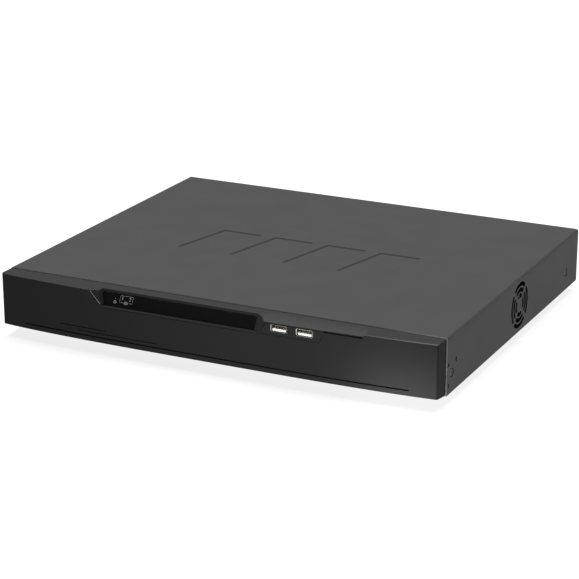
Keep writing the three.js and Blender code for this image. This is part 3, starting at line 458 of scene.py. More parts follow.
# Die-cast aluminium of the disk bodies, tumbled.
casting = grain(surface("die_cast_aluminium", "9a9da0", 0.5, 1.0), 0.8, 0.02)
wander(casting, 8, "8e9194", "a6a9ac", (0.42, 0.58))
# Stainless lid of the disks, brushed one way.
lid_steel = grain(surface("brushed_stainless", "b0b0ae", 0.3, 1.0), 0.3, 0.004, stretch=(1, 0.02, 1))
# Sputtered platters: a mirror.
mirror = surface("platter_mirror", "d0d0d2", 0.04, 1.0)
# Ribbon cable insulation.
ribbon = grain(surface("grey_pvc_ribbon", "8c8e92", 0.55), 1.27, 0.08, detail=0.0,
               stretch=(1, 0.001, 0.001))
# PVC lead insulation in red and in black.
red_lead = surface("red_pvc", "a32222", 0.45)
black_lead = surface("black_pvc", "161617", 0.45)
# Polyester tape on the transformer's winding.
tape = surface("polyester_tape", "c09a2a", 0.3, Coat_Weight=0.4)
# Heat-shrunk sleeve of the mains capacitor.
sleeve = surface("heat_shrunk_sleeve", "1c2436", 0.35)
# Coloured plastics of the rear panel.
jack_white = surface("white_jack_plastic", "e4e2dc", 0.4)
jack_red = surface("red_jack_plastic", "b01e22", 0.4)
terminal = grain(surface("green_polyamide", "2a8646", 0.45), 0.25, 0.004)
clear = surface("clear_acrylic", "eef0f2", 0.08, Transmission_Weight=0.9)
print("materials:", len(bpy.data.materials))

# %% Materials on the CAD pieces that are shown as they are
shown_as_is = {
    zinc: ["base_tray", "fan_bracket"],
    epoxy: ["processor"],
    anodised: ["heatsink"],
    nylon: ["clock_cell_holder", "fan_frame", "power_switch_frame"],
    clear: ["light_guide"],
    ribbon: ["front_panel_cable"],
    casting: ["disk_1_casting", "disk_2_casting", "disk_1_head_arm", "disk_2_head_arm"],
    lid_steel: ["disk_1_lid", "disk_2_lid"],
    mirror: ["disk_1_platters", "disk_2_platters"],
    red_lead: ["disk_1_data_lead", "disk_2_data_lead", "low_voltage_lead"],
    black_lead: ["disk_1_power_lead", "disk_2_power_lead", "mains_lead", "fan_lead"],
    sleeve: ["mains_capacitor"],
    terminal: ["alarm_header"],
    nickel: ["clock_cell"],
}
for material, names in shown_as_is.items():
    for name in names:
        dress(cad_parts[name], material)
print("CAD pieces dressed:", sum(map(len, shown_as_is.values())))

# %% [markdown]
# A loaded board is many materials in one CAD piece. A copy of it is enough: every face asks where
# it lies, and a short list of places says what stands there. Copying keeps the sizes exact.

# %% Boards and the transformer in their own materials
BOARD_THICK = 1.6
DECK = box_of("power_supply_board")[0][2] + BOARD_THICK


def by_place(node, name, body, slot, base, places, edge=0.25):
    """A copy of a CAD node; a face inside one of the (low, high) boxes takes its material."""
    copy = bpy.data.objects.new(name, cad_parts[node].data.copy())
    scene.collection.objects.link(copy)
    dress(copy, base, *[material for material, _, _ in places])
    work = bmesh.new()
    work.from_mesh(copy.data)
    bmesh.ops.remove_doubles(work, verts=work.verts, dist=1e-6)
    for face in work.faces:
        where = (np.array(face.calc_center_median()) - ORIGIN) / MM
        face.material_index = 0
        for k, (_, low, high) in enumerate(places, 1):
            if np.all(where >= low) and np.all(where <= high):
                face.material_index = k
    work.to_mesh(copy.data)
    work.free()
    soften(copy, edge, 1, 50)
    return settle(copy, body, slot, node)


WIDE = 1000
above = DECK + 0.05
by_place("main_board", "loaded_main_board", "case", "board_laminate", laminate, [
    (epoxy, (-WIDE, 0, above), (WIDE, WIDE, DECK + 3)),
    (nylon, (-150, 180, above), (50, 196, DECK + 9)),
    (tongue_white, (49, 180, above), (61, 260, DECK + 9)),
    (anodised, (-166, 195, above), (-131, 206, DECK + 10)),
    (anodised, (43, 200, above), (53, 223, DECK + 10))])
by_place("power_supply_board", "loaded_supply_board", "case", "board_laminate", laminate, [
    (anodised, (100, 190, above), (108, 240, DECK + 23)),
    (anodised, (164, 205, above), (172, 250, DECK + 23)),
    (sleeve, (108, 186, above), (132, 198, DECK + 17)),
    (sleeve, (108, 234, above), (120, 246, DECK + 17)),
    (tape, (140, 249, above), (160, 263, DECK + 13)),
    (tongue_white, (93, 236, above), (103, 258, DECK + 9)),
    (tongue_white, (117, 258, above), (133, 267, DECK + 9))])
by_place("front_panel_board", "loaded_front_board", "case", "board_laminate", laminate, [
    (tongue_white, (-50, -8, 20), (-28, 0, 33.7))])
by_place("transformer", "wound_transformer", "case", "winding_tape", tape, [
    (epoxy, (119, 208.9, 0), (124.6, 221.1, 60)),
    (epoxy, (147.4, 208.9, 0), (153, 221.1, 60)),
    (epoxy, (119, 208.9, DECK + 22.3), (153, 221.1, 60))])
for k in (1, 2):
    low, high = box_of(f"disk_{k}_board")
    by_place(f"disk_{k}_board", f"disk_{k}_electronics", "case", "board_laminate", laminate, [
        (epoxy, (low[0], low[1], low[2] - 1), (high[0], high[1], low[2] + 0.95)),
        (nylon, (low[0], high[1] - 6.5, low[2] - 1), (high[0], high[1] + 1, high[2] + 1))])
print("boards loaded, deck at", round(DECK, 2))

# %% [markdown]
# The cover is one sheet folded down over both sides. It is a grid: one parameter runs back along
# the case, the other walks up the left side, over the top and down the right side. Four leaning
# panels are pressed down into the top. The grid's lines lean with them, so each pressed edge runs
# along a line of the grid instead of stepping across it.

# %% Folded cover with its pressed panels
PANELS = [-95 + 48 * i for i in range(4)]
PANEL_W, PANEL_FRONT, PANEL_REAR, PANEL_LEAN = 36.0, 106.0, 165.0, 14.0
PRESS_DEPTH, PRESS_SLOPE = 1.3, 1.6
LEAN_FADE = 35.0
EDGE = 0.5
FAN_Y, FAN_Z = 154.0, 22.4
SCREW_PLACES, SCREW_Z = (10.2, 268.0), 15.5


def lines(*runs):
    """Grid lines from runs of (start, number of steps); the last run's start ends them."""
    parts = [np.linspace(a, b, n, endpoint=False) for (a, n), (b, _) in zip(runs[:-1], runs[1:])]
    return np.concatenate(parts + [[runs[-1][0]]])


def ease(t):
    """0 below 0, 1 above 1 and a smooth S between: 3 t^2 - 2 t^3."""
    t = np.clip(t, 0, 1)
    return t * t * (3 - 2 * t)


def cover_grid():
    """Points (x, y, z): x and z walk round the section, y runs back, and z sinks by depth times
    the product of four eased distances to a panel's edges; x leans along the panels' length.
    The first row sinks by EDGE along the sheet's normal, which breaks the front edge."""
    flat = HALF_W - BEND
    runs = [(-flat, 12)]
    for x in PANELS:
        runs += [(x, 6), (x + PRESS_SLOPE, 6), (x + PANEL_W - PRESS_SLOPE, 6), (x + PANEL_W, 4)]
    top_x = lines(*runs, (flat, 0))
    y = lines((0, 1), (EDGE, 22), (PANEL_FRONT, 6), (PANEL_FRONT + PRESS_SLOPE, 14),
              (PANEL_REAR - PRESS_SLOPE, 6), (PANEL_REAR, 22), (DEEP, 0))
    t = np.linspace(0, np.pi / 2, 7)[1:-1]
    side_z = np.linspace(0, TOP - BEND, 10)
    x = np.concatenate([np.full(10, -HALF_W), -flat - BEND * np.cos(t), top_x,
                        flat + BEND * np.sin(t), np.full(10, HALF_W)])
    z = np.concatenate([side_z, TOP - BEND + BEND * np.sin(t), np.full(len(top_x), TOP),
                        TOP - BEND + BEND * np.cos(t), side_z[::-1]])
    X, Y = np.meshgrid(x, y)
    Z = np.tile(z, (len(y), 1))
    across_y = ease((Y - PANEL_FRONT) / PRESS_SLOPE) * ease((PANEL_REAR - Y) / PRESS_SLOPE)
    for start in PANELS:
        fall, rise = ease((X - start) / PRESS_SLOPE), ease((start + PANEL_W - X) / PRESS_SLOPE)
        Z -= PRESS_DEPTH * across_y * fall * rise
    lean = np.clip((Y - PANEL_FRONT) / (PANEL_REAR - PANEL_FRONT), 0, 1) * PANEL_LEAN
    X += lean * np.clip((flat - np.abs(X)) / LEAN_FADE, 0, 1)
    sideways = np.clip((np.abs(X[0]) - flat) / BEND, 0, 1) * np.sign(X[0])
    X[0] -= EDGE * sideways
    Z[0] -= EDGE * np.sqrt(1 - sideways ** 2)
    return np.stack((X, Y, Z), -1)


def spoke(angle):
    """The unit vector at an angle, or one for each of an array of angles."""
    return np.stack((np.cos(angle), np.sin(angle)), -1)


def arc_slot(inner, outer, middle, half, steps=14):
    """The outline of a slot along an arc with round ends, as (y, z) about zero."""
    centre, thick = (inner + outer) / 2, (outer - inner) / 2
    half -= thick / centre
    t = np.linspace(middle - half, middle + half, steps)
    cap = np.linspace(0, np.pi, 6)[1:-1]
    end = spoke(t[-1] + cap) * thick + centre * spoke(t[-1])
    start = spoke(t[0] + np.pi + cap) * thick + centre * spoke(t[0])
    return np.concatenate([spoke(t) * outer, end, spoke(t)[::-1] * inner, start])


cover = dress(grid("top_cover_sheet", cover_grid()), powder, cut_edge_highlight, hole_wall_shade, cover_edge_highlight)
# The first row, the broken front edge, takes the painted highlight that brightens towards the right
# corner.
for face in cover.data.polygons:
    face.material_index = 3 if (face.center.y - ORIGIN[1]) / MM < EDGE else 0
# The sheet's cut edges take slot 1, painted lighter as a highlight.
thicken(cover, SHEET, rim=1)
cutters = []
for inner, outer in ((6.1, 9.5), (10.8, 14.2), (15.5, 18.9)):
    for k in range(4):
        half = np.pi / 4 - 1.3 / ((inner + outer) / 2)
        slot_line = arc_slot(inner, outer, k * np.pi / 2, half) + (FAN_Y, FAN_Z)
        cutters.append(prism("grille", slot_line, 0, HALF_W - 3, HALF_W + 1))
for y in SCREW_PLACES:
    for side in (-1, 1):
        profile = [(3.3, side * (HALF_W - 3)), (3.3, side * (HALF_W - 0.25)),
                   (3.5, side * (HALF_W + 0.01)), (3.5, side * (HALF_W + 1))]
        cutters.append(turned("dimple", profile, 0, (0, y, SCREW_Z), 32))
for y, low, high in ((3.4, 21.9, 25), (18.2, 21.2, 25.3), (4, 5.2, 8.6)):
    slot_line = rounded(2.0, high - low, 0.8) + (y, (low + high) / 2)
    cutters.append(prism("side_slot", slot_line, 0, -HALF_W - 1, HALF_W + 1))
for i in range(9):
    slot_line = rounded(3, 21, 1.45) + (121.5 + 8 * i, 22.5)
    cutters.append(prism("left_vent", slot_line, 0, -HALF_W - 1, -HALF_W + 2))
# The walls of the holes take slot 2, painted dark as the shade inside them.
carve(cover, cutters, wall=2)
finish_mesh(cover, 30)
settle(cover, "case", "coated_steel", "top_cover")
print("cover faces:", len(cover.data.polygons))

# %% [markdown]
# The front is one moulding that bows forward in the middle. Each section across the case is a
# closed loop, and the loops are spaced closer near the ends, where the face turns the corner. The
# real part is moulded hollow, so a smaller copy of the same form is cut out of it.

# %% Front moulding
BEZEL_HALF = box_of("front_bezel")[1][0]
BEZEL_TOP, BEZEL_LOW = TOP - 0.5, 0.4
BEZEL_WALL, CORNER, LIP = 2.2, 1.6, 0.9
HEM, HEM_Z = 0.7, 2.6
END_DEPTH, BOW_DEPTH, BOW_POWER = 14.7, 5.3, 3.7
POCKET_FLOOR, POCKET_BRIM = 33.0, 44.9
POCKET_DEPTH, POCKET_RIGHT = 16.4, 50
POCKET_TILT = 5.1 / 11.9


def bow(x):
    """How far the face stands ahead of the cover: 14.7 + 5.3 (1 - s^3.7), its ends rounded."""
    reach = np.minimum(np.abs(x) / BEZEL_HALF, 1)
    into = np.clip(np.abs(x) - (BEZEL_HALF - CORNER), 0, CORNER)
    end_round = CORNER - np.sqrt(np.maximum(CORNER ** 2 - into ** 2, 0))
    return END_DEPTH + BOW_DEPTH * (1 - reach ** BOW_POWER) - end_round


def bezel_form(name, inset, rear):
    """The moulding's envelope, shrunk by inset: loops of (y, z) at stations across the case."""
    s = np.concatenate([np.linspace(0, 0.9, 28, endpoint=False),
                        np.linspace(0.9, 0.985, 10, endpoint=False),
                        1 - 0.015 * np.cos(np.linspace(0, np.pi / 2, 12))])
    s = np.unique(np.concatenate([-s, s]))
    x = s * (BEZEL_HALF - inset)
    face = -bow(np.clip(x, -BEZEL_HALF + 0.05, BEZEL_HALF - 0.05)) + inset
    t = np.linspace(0, np.pi / 2, 6)
    high, low = BEZEL_TOP - inset, BEZEL_LOW + inset
    loop = [(rear + 0 * face, low + 0 * face), (rear + 0 * face, high - 0.2 + 0 * face)]
    loop += [(face + LIP * (1 - np.sin(a)), high - LIP * (1 - np.cos(a)) + 0 * face) for a in t]
    loop += [(face + HEM * (1 - np.cos(a)), low + HEM_Z - HEM * np.sin(a) + 0 * face) for a in t]
    points = np.zeros((len(x), len(loop), 3))
    points[:, :, 0] = x[:, None]
    for k, (y, z) in enumerate(loop):
        points[:, k, 1], points[:, k, 2] = y, z
    return grid(name, points, closed=True, caps=True)


def pocket_back(z):
    """The slanted rear plane of the window's pocket."""
    return -POCKET_DEPTH + (z - POCKET_FLOOR) * POCKET_TILT


def pocket_left(z):
    """The pocket's left wall, which runs straight back to the window."""
    return -95.1 + 0.3 * (POCKET_BRIM - z)


def pocket_slab(name, low, high, near, far, grow):
    """A wedge between two heights and two depths, whose right end slants like the pocket's."""
    corners = []
    for z in (low, high):
        for y in (near(z), far(z)):
            right = POCKET_RIGHT - 1.25 * (min(y, pocket_back(z)) + 19.7) + 0.62 * (z - POCKET_BRIM)
            corners += [(pocket_left(z) - grow, y, z), (right + grow, y, z)]
    return hull(name, corners)


LEAD_DEPTH, LEAD_FALL = 19.5, 3.7


def lead_edge(z):
    """Where the facet that leads into the pocket starts, at the face's depth."""
    return -102.6 + (POCKET_BRIM - z)


def lead_in():
    """The cutter of that shallow facet: x rises LEAD_FALL mm for each millimetre of depth."""
    corners = []
    for z in (POCKET_FLOOR, TOP + 1):
        back = (pocket_left(z) - lead_edge(z)) / LEAD_FALL - LEAD_DEPTH
        front_x = lead_edge(z) - LEAD_FALL * (30 - LEAD_DEPTH)
        corners += [(front_x, -30, z), (pocket_left(z), back, z), (-60, back, z), (-60, -30, z)]
    return hull("lead_in", corners)


def groove(x0, x1, z0, z1, depth):
    """A groove that follows the bowed face at one depth."""
    x = np.linspace(x0, x1, 40)
    face = -bow(x)
    points = np.zeros((40, 4, 3))
    points[:, :, 0] = x[:, None]
    points[:, :, 1] = np.stack((face - 2, face - 2, face + depth, face + depth), -1)
    points[:, :, 2] = (z0, z1, z1, z0)
    return grid("groove", points, closed=True, caps=True)


def insert_outline(grow):
    """The trapezium of the socket insert, grown outwards by the given width."""
    corners = np.array([(45.2, 33.2), (94.4, 33.2), (98.6, 42.2), (49.8, 42.2)])
    return corners + grow * np.array([(-1, -1), (1, -1), (1, 1), (-1, 1)])


bezel = bezel_form("front_moulding", 0, -0.1)
carve(bezel, [bezel_form("hollow", BEZEL_WALL, 1)])
housing = block("housing", (-106, -18.4, POCKET_FLOOR - 2.4), (POCKET_RIGHT, -8.4, BEZEL_TOP - 1))
carve(bezel, [housing], "UNION")
carve(bezel, [
    pocket_slab("pocket", POCKET_FLOOR, TOP + 1, lambda z: -30, lambda z: pocket_back(z) + 0.3, 0),
    lead_in(),
    pocket_slab("seat", POCKET_FLOOR - 1.2, POCKET_FLOOR + 10.2, pocket_back, lambda z: -5, 1.3),
    prism("opening", insert_outline(0), 1, -30, -8),
    prism("slope", [(-13.7, TOP), (-22, TOP), (-22, TOP - 3.2)], 0, 46, 129.4),
    groove(98, 129, 41.6, 42.9, 1.5),
    groove(-164, 165, 6.3, 7.4, 1.7),
    groove(-130.5, -88, 12.6, 13.3, 0.9),
    groove(-115, -43, 9.7, 10.4, 0.9),
    groove(-90, 45, 32.1, 32.6, 0.4)])
soften(dress(bezel, moulding, moulding_top, edge_highlight, moulding_ends_lit), 0.22, 2, 28)
for face in bezel.data.polygons:
    place, facing = (np.array(face.center) - ORIGIN) / MM, face.normal
    ledge = facing.z > 0.5 and place[2] > TOP - 4
    rounded_over = 0.25 < facing.z < 0.93 and facing.y < -0.2
    # Upper front edge right of x = 100 mm: it takes the painted highlight.
    edge = place[2] > TOP - 1.6 and rounded_over and place[0] > 100
    # End faces: they take the lighter grey painted as light on the ends.
    end = abs(facing.x) > 0.9 and abs(place[0]) > BEZEL_HALF - 0.1
    face.material_index = 3 if end else 2 if edge else int(ledge)
# A thin light ribbon along the crease into the pocket: a painted highlight.
z = np.linspace(44.4, 34.8, 12)
x = lead_edge(z) + LEAD_FALL * (LEAD_DEPTH - bow(lead_edge(z)))
crease = np.stack((x, -bow(x) - 0.02, z), -1)
glint = grid("crease", np.stack((
    crease + (-0.18, 0, -0.17), crease + (0, -0.1, 0), crease + (0.18, 0, 0.17)), 1))
bezel = joined("front_moulding", [bezel, dress(glint, crease_highlight)])
settle(bezel, "case", "bezel_plastic", "front_bezel")
print("moulding faces:", len(bezel.data.polygons))

# %% [markdown]
# The insert fills the slanted opening, and its sockets' mouths have broken edges, because a plug
# has to find its way in without looking.

# %% Socket insert and its two USB sockets
USB_X, USB_Z, USB_MOUTH, USB_W, USB_H = (61.0, 82.0), 38.5, -19.2, 13.6, 5.4

insert = prism("socket_insert", insert_outline(-0.25), 1, -30, -13.5)
envelope = bezel_form("envelope", 0.05, -1)
tool = insert.modifiers.new("face", "BOOLEAN")
tool.operation, tool.solver, tool.object = "INTERSECT", "EXACT", envelope
applied(insert)
bpy.data.objects.remove(envelope)
carve(insert, [block("flange", (52, -16.8, 31.4), (101, -15.4, 42.3))], "UNION")
mouth_line = rounded(USB_W + 0.6, USB_H + 0.6, 0.5)
carve(insert, [prism("mouth", mouth_line + (x, USB_Z), 1, -32, -10) for x in USB_X])
soften(dress(insert, moulding), 0.25, 2, 35)
settle(insert, "case", "bezel_plastic", "usb_port_insert")


def usb_shell(name, x, z, mouth, inward):
    """A drawn shell: rectangles with round corners swept in, out of the mouth and back inside."""
    skin, deep = 0.4, 14.0
    steps = [(deep, 0), (0.7, 0), (0.35, 0.06), (0.0, 0.12),
             (0.0, 0.0), (0.25, -0.32), (0.7, -skin), (deep - 1, -skin)]
    rings = []
    for along, grow in steps:
        loop = rounded(USB_W + 2 * grow, USB_H + 2 * grow, 0.7 + grow)
        depth = np.full(len(loop), mouth + inward * along)
        rings.append(np.stack((loop[:, 0] + x, depth, loop[:, 1] + z), -1))
    shell = grid(name, np.array(rings), closed=True, caps=True)
    springs = []
    for dx in (-3.2, 3.2):
        for side in (-1, 1):
            t = np.linspace(0, 1, 12)
            bulge = (USB_H / 2 - skin - 0.05) - 0.55 * np.sin(np.pi * t) ** 0.7
            points = np.zeros((12, 2, 3))
            points[:, :, 0] = np.array([x + dx - 0.9, x + dx + 0.9])
            points[:, :, 1] = (mouth + inward * (1.6 + 5 * t))[:, None]
            points[:, :, 2] = (z + side * bulge)[:, None]
            springs.append(dress(grid("spring", points), nickel))
    return joined(name, [dress(shell, nickel)] + springs)


def usb_tongue(name, x, z, mouth, inward):
    """The tongue with its four contacts, each a bowed strip lying in the upper face."""
    low, high = z - USB_H / 2 + 0.6, z - USB_H / 2 + 2.5
    y0, y1 = mouth + inward * 0.6, mouth + inward * 12.6
    line = rounded(11.2, high - low, 0.35) + (x, (low + high) / 2)
    body = prism(name, line, 1, min(y0, y1), max(y0, y1))
    body = soften(dress(body, tongue_white), 0.15, 2)
    contacts = []
    for dx, reach in ((-3.5, 0.9), (-1.0, 1.7), (1.0, 1.7), (3.5, 0.9)):
        t = np.linspace(0, 1, 10)
        points = np.zeros((10, 4, 3))
        points[:, :, 0] = x + dx + np.array([-0.5, -0.42, 0.42, 0.5])
        points[:, :, 1] = (mouth + inward * (0.6 + reach + (11 - reach) * t))[:, None]
        crown = high + 0.02 + 0.12 * np.sin(np.pi * t[:, None]) ** 0.5
        points[:, :, 2] = crown + np.array([-0.1, 0.0, 0.0, -0.1])
        contacts.append(dress(grid("contact", points), gold))
    return joined(name, [body] + contacts)


for i, x in enumerate(USB_X):
    settle(usb_shell(f"usb_shell_{i + 1}", x, USB_Z, USB_MOUTH, 1),
           "case", "plated_shell", f"front_usb_shell_{i + 1}")
    settle(usb_tongue(f"usb_tongue_{i + 1}", x, USB_Z, USB_MOUTH, 1),
           "case", "white_insulator", f"front_usb_tongue_{i + 1}")
print("USB sockets at", USB_X)

# %% [markdown]
# The window is a slab of smoked acrylic leaning back in its pocket. Its marks are pad-printed:
# each is a ribbon of ink, a path on the window thickened to a line of constant width. A circle
# and a bar mean power, and a bracket frame holds the two disks' numbers above a small disk.

# %% Indicator window and its printed marks
window = pocket_slab("window_pane", POCKET_FLOOR - 1, POCKET_FLOOR + 10,
                     lambda z: pocket_back(z) + 0.1, lambda z: pocket_back(z) + 2.1, 1)
soften(dress(window, smoked), 0.15, 2)
settle(window, "case", "window_acrylic", "indicator_window")


def two_edges(path, width):
    """Both edges of a ribbon: each point of the path pushed to either side by half the width."""
    path = np.asarray(path, float)
    run = np.gradient(path, axis=0)
    run /= np.linalg.norm(run, axis=1)[:, None]
    aside = np.stack((-run[:, 1], run[:, 0]), -1) * width / 2
    return np.stack((path - aside, path + aside), 1)


def stroke(path, width=0.42):
    """A ribbon of ink on the window along (x, z) points."""
    rows = two_edges(path, width)
    depth = pocket_back(rows[..., 1]) + 0.1 - 0.04
    return dress(grid("stroke", np.stack((rows[..., 0], depth, rows[..., 1]), -1)), ink)


def ring_path(x, z, radius, start, stop, steps=24):
    """Points on an arc about (x, z), from one angle to another in degrees."""
    t = np.radians(np.linspace(start, stop, steps))
    return np.stack((x + radius * np.cos(t), z + radius * np.sin(t)), -1)


def straight(a, b, steps=3):
    """Points on the line from a to b."""
    return np.linspace(a, b, steps)


FRAME_LEFT, FRAME_RIGHT, FRAME_LOW, FRAME_HIGH = -78.3, -67.0, 36.9, 41.7
FRAME_GAP, ROUND = 2.4, 0.8


def half_frame(edge, toward):
    """Half of the bracket frame: from the gap below, round one end, to the middle of the top."""
    lower = ring_path(edge + toward * ROUND, FRAME_LOW + ROUND, ROUND, -90, -90 - toward * 90, 5)
    upper = ring_path(edge + toward * ROUND, FRAME_HIGH - ROUND, ROUND, 90 + toward * 90, 90, 5)
    centre = (FRAME_LEFT + FRAME_RIGHT) / 2
    return np.concatenate([
        [(centre - toward * FRAME_GAP, FRAME_LOW)], lower, upper, [(centre, FRAME_HIGH)]])


marks = [
    stroke(half_frame(FRAME_LEFT, 1), 0.16),
    stroke(half_frame(FRAME_RIGHT, -1), 0.16),
    stroke(straight((-82.55, 39.2), (-82.2, 39.2)), 0.4),
    stroke(ring_path(-82.4, 36.7, 0.95, 125, 415), 0.36),
    stroke(straight((-82.4, 36.7), (-82.4, 37.9)), 0.36),
    stroke(ring_path(-72.65, 36.8, 0.8, 0, 360) * (2, 1) + (72.65, 0), 0.34),
    stroke(straight((-73.3, 36.8), (-72.0, 36.8)), 0.34),
    stroke(straight((-76.1, 38.7), (-76.1, 41.0)), 0.42),
    stroke(straight((-76.1, 40.95), (-76.6, 40.5)), 0.3),
    stroke(np.concatenate([ring_path(-69.5, 40.3, 0.65, 170, -30, 12),
                           straight((-69.1, 39.7), (-70.1, 38.8), 5)[1:]]), 0.28),
    stroke(straight((-70.2, 38.75), (-68.8, 38.75)), 0.28),
]
window_marks = joined("window_marks", marks)
settle(window_marks, "case", "window_acrylic")
print("printed strokes:", len(marks))

# %% [markdown]
# A machine screw's head is a shallow dome with a cross recess whose four wings taper inwards.

# %% Screws and feet
def cross_recess(centre, axis, face, inward, reach=1.7, deep=1.1, wide=0.75):
    """Two tapered bars at right angles: wide at the head's face, narrow at the bottom."""
    a, b = [k for k in range(3) if k != axis]
    bars = []
    for first, second in ((a, b), (b, a)):
        corners = []
        for depth, shrink in ((-0.3, 1.0), (deep, 0.35)):
            for s in (-1, 1):
                for t in (-1, 1):
                    point = np.array(centre, float)
                    point[first] += s * reach * shrink
                    point[second] += t * wide / 2 * (0.5 + shrink / 2)
                    point[axis] = face + inward * depth
                    corners.append(point)
        bars.append(hull("recess", corners))
    return bars


for row, y in (("front", SCREW_PLACES[0]), ("rear", SCREW_PLACES[1])):
    for side, hand in ((-1, "left"), (1, "right")):
        t = np.linspace(0, np.pi / 2, 6)
        dome = [(2.75 * np.sin(a), side * (HALF_W - 0.5 + 0.35 * np.cos(a))) for a in t][::-1]
        profile = [(1.5, side * (HALF_W - 7)), (1.5, side * (HALF_W - 1.6)),
                   (2.75, side * (HALF_W - 1.6)), *dome[:-1], (0.2, side * (HALF_W - 0.15))]
        screw = turned(f"screw_{row}_{hand}", profile, 0, (0, y, SCREW_Z), 40)
        carve(screw, cross_recess((0, y, SCREW_Z), 0, side * (HALF_W - 0.15), -side))
        settle(dress(finish_mesh(screw), black_zinc),
               "case", "screw_steel", f"cover_screw_{row}_{hand}")

for name in [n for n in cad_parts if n.startswith("foot_")]:
    low, high = box_of(name)
    middle = (low + high) / 2
    middle[2] = 0
    radius, ground, top = (high[0] - low[0]) / 2, low[2], high[2]
    t = np.linspace(0, np.pi / 2, 5)
    tread = [(8.4 + 0.9 * np.sin(a), ground + 0.9 - 0.9 * np.cos(a)) for a in t]
    profile = [(2.6, ground + 2.4), (2.9, ground), (6.6, ground), (6.9, ground + 0.35),
               (7.4, ground + 0.35), (7.7, ground), *tread, (radius - 0.3, -0.6), (radius, -0.2),
               (radius, 0.2), (2.7, 0.2), (2.7, 2.0), (3.3, 2.4), (2.2, top)]
    settle(dress(turned("pad_" + name, profile, 2, middle, 56), rubber), "case", "foot_rubber", name)
print("screws and feet done")

# %% [markdown]
# The fan's rotor is a hub with seven blades. Each blade is a grid: one parameter runs out from the
# hub, the other across the chord, and the chord turns flatter towards the tip, as it must because
# the tip moves faster.

# %% Fan rotor
hub_low, hub_high = box_of("fan_rotor")
X0, X1 = hub_low[0], hub_high[0]


BLADES, ROOT_R, TIP_R, SPAN = 7, 9.8, 17.9, 8.1


def blade(turn):
    """x = pitch times chord, and the angle leans back with radius: a swept, twisted sheet."""
    r = np.linspace(ROOT_R, TIP_R, 9)[:, None]
    c = np.linspace(-1, 1, 9)[None, :]
    twist = np.radians(52 - 16 * (r - ROOT_R) / SPAN)
    chord = 3.3 + 0.9 * (r - ROOT_R) / SPAN
    around = turn + 0.035 * (r - ROOT_R) + c * chord * np.cos(twist) / r
    x = (X0 + X1) / 2 - 0.2 + c * chord * np.sin(twist) * 0.9 + 0.35 * (1 - c * c)
    return np.stack((x + 0 * r, FAN_Y + r * np.cos(around), FAN_Z + r * np.sin(around)), -1)


blades = [thicken(grid("blade", blade(2 * np.pi * k / BLADES)), 0.7) for k in range(BLADES)]
t = np.linspace(0, np.pi / 2, 6)
rim = [(9.5 + 0.8 * np.cos(a), X1 - 0.8 + 0.8 * np.sin(a)) for a in t]
hub_profile = [(0.6, X0 + 0.2), (9.9, X0 + 0.2), (10.3, X0 + 0.6), *rim,
               (6.2, X1), (6.0, X1 - 0.15), (0.6, X1 - 0.15)]
hub = turned("hub", hub_profile, 0, (0, FAN_Y, FAN_Z), 56)
rotor = joined("fan_impeller", [dress(p, nylon) for p in [hub] + blades])
settle(rotor, "fan_rotor", "black_nylon", "fan_rotor")
print("blades:", len(blades))

# %% [markdown]
# The rear sockets are what an installer meets. Each is drawn from its standard: two coaxial jacks,
# a fifteen-hole video socket with its jack posts, a network socket with eight springs, a row of
# screw terminals, and the mains inlet beside its rocker switch.

# %% Jacks and video socket
PANEL = DEEP


def drawn_skin(name, outline_at, steps):
    """A skin swept back through (depth, growth) steps of one outline."""
    rings = [np.insert(outline_at(grow), 1, y, axis=1) for y, grow in steps]
    return grid(name, np.array(rings), closed=True, caps=True)


for node, plastic, finish_slot in (("audio_in_jack", jack_white, "white_jack"),
                                   ("audio_out_jack", jack_red, "red_jack")):
    low, high = box_of(node)
    x, z, reach = (low[0] + high[0]) / 2, low[2] + 7.9, high[1]
    sleeve_profile = [(1.9, PANEL - 0.8), (4.15, PANEL - 0.8), (4.15, PANEL + 0.6),
                      (3.7, PANEL + 0.9), (3.7, reach - 0.4), (3.4, reach), (3.0, reach),
                      (2.8, reach - 0.3), (2.8, PANEL + 2.2), (1.9, PANEL + 2.2)]
    core_profile = [(1.1, PANEL + 1), (2.35, PANEL + 1), (2.35, reach - 0.8),
                    (2.1, reach - 0.5), (1.5, reach - 0.5), (1.3, reach - 0.8), (1.1, PANEL + 3)]
    body = rear_block(low, high, 0.6, PANEL - 1.2)
    parts = [dress(turned("sleeve", sleeve_profile, 1, (x, 0, z), 40), nickel),
             dress(turned("core", core_profile, 1, (x, 0, z), 32), plastic),
             soften(dress(body, plastic), 0.3)]
    settle(joined("jack_" + node, parts), "case", finish_slot, node)

low, high = box_of("video_socket")
x, z, nose = (low[0] + high[0]) / 2, low[2] + 6.9, high[1]
D_ROUND, HOLE_PITCH, POST_ACROSS, POST_R = 1.8, 2.29, 12.5, 2.3


def d_outline(grow):
    """The D of a video socket: a trapezium with round corners, wider above."""
    corners = [(-8.0 - grow, 3.9 + grow), (8.0 + grow, 3.9 + grow),
               (7.0 + grow, -3.9 - grow), (-7.0 - grow, -3.9 - grow)]
    points = []
    for k, corner in enumerate(corners):
        before, after = np.array(corners[k - 1]), np.array(corners[(k + 1) % 4])
        corner = np.array(corner)
        to_before = (before - corner) / np.linalg.norm(before - corner) * D_ROUND
        to_after = (after - corner) / np.linalg.norm(after - corner) * D_ROUND
        for s in np.linspace(0, 1, 6):
            points.append(corner + to_before * (1 - s) ** 2 + to_after * s ** 2)
    return np.array(points) + (x, z)


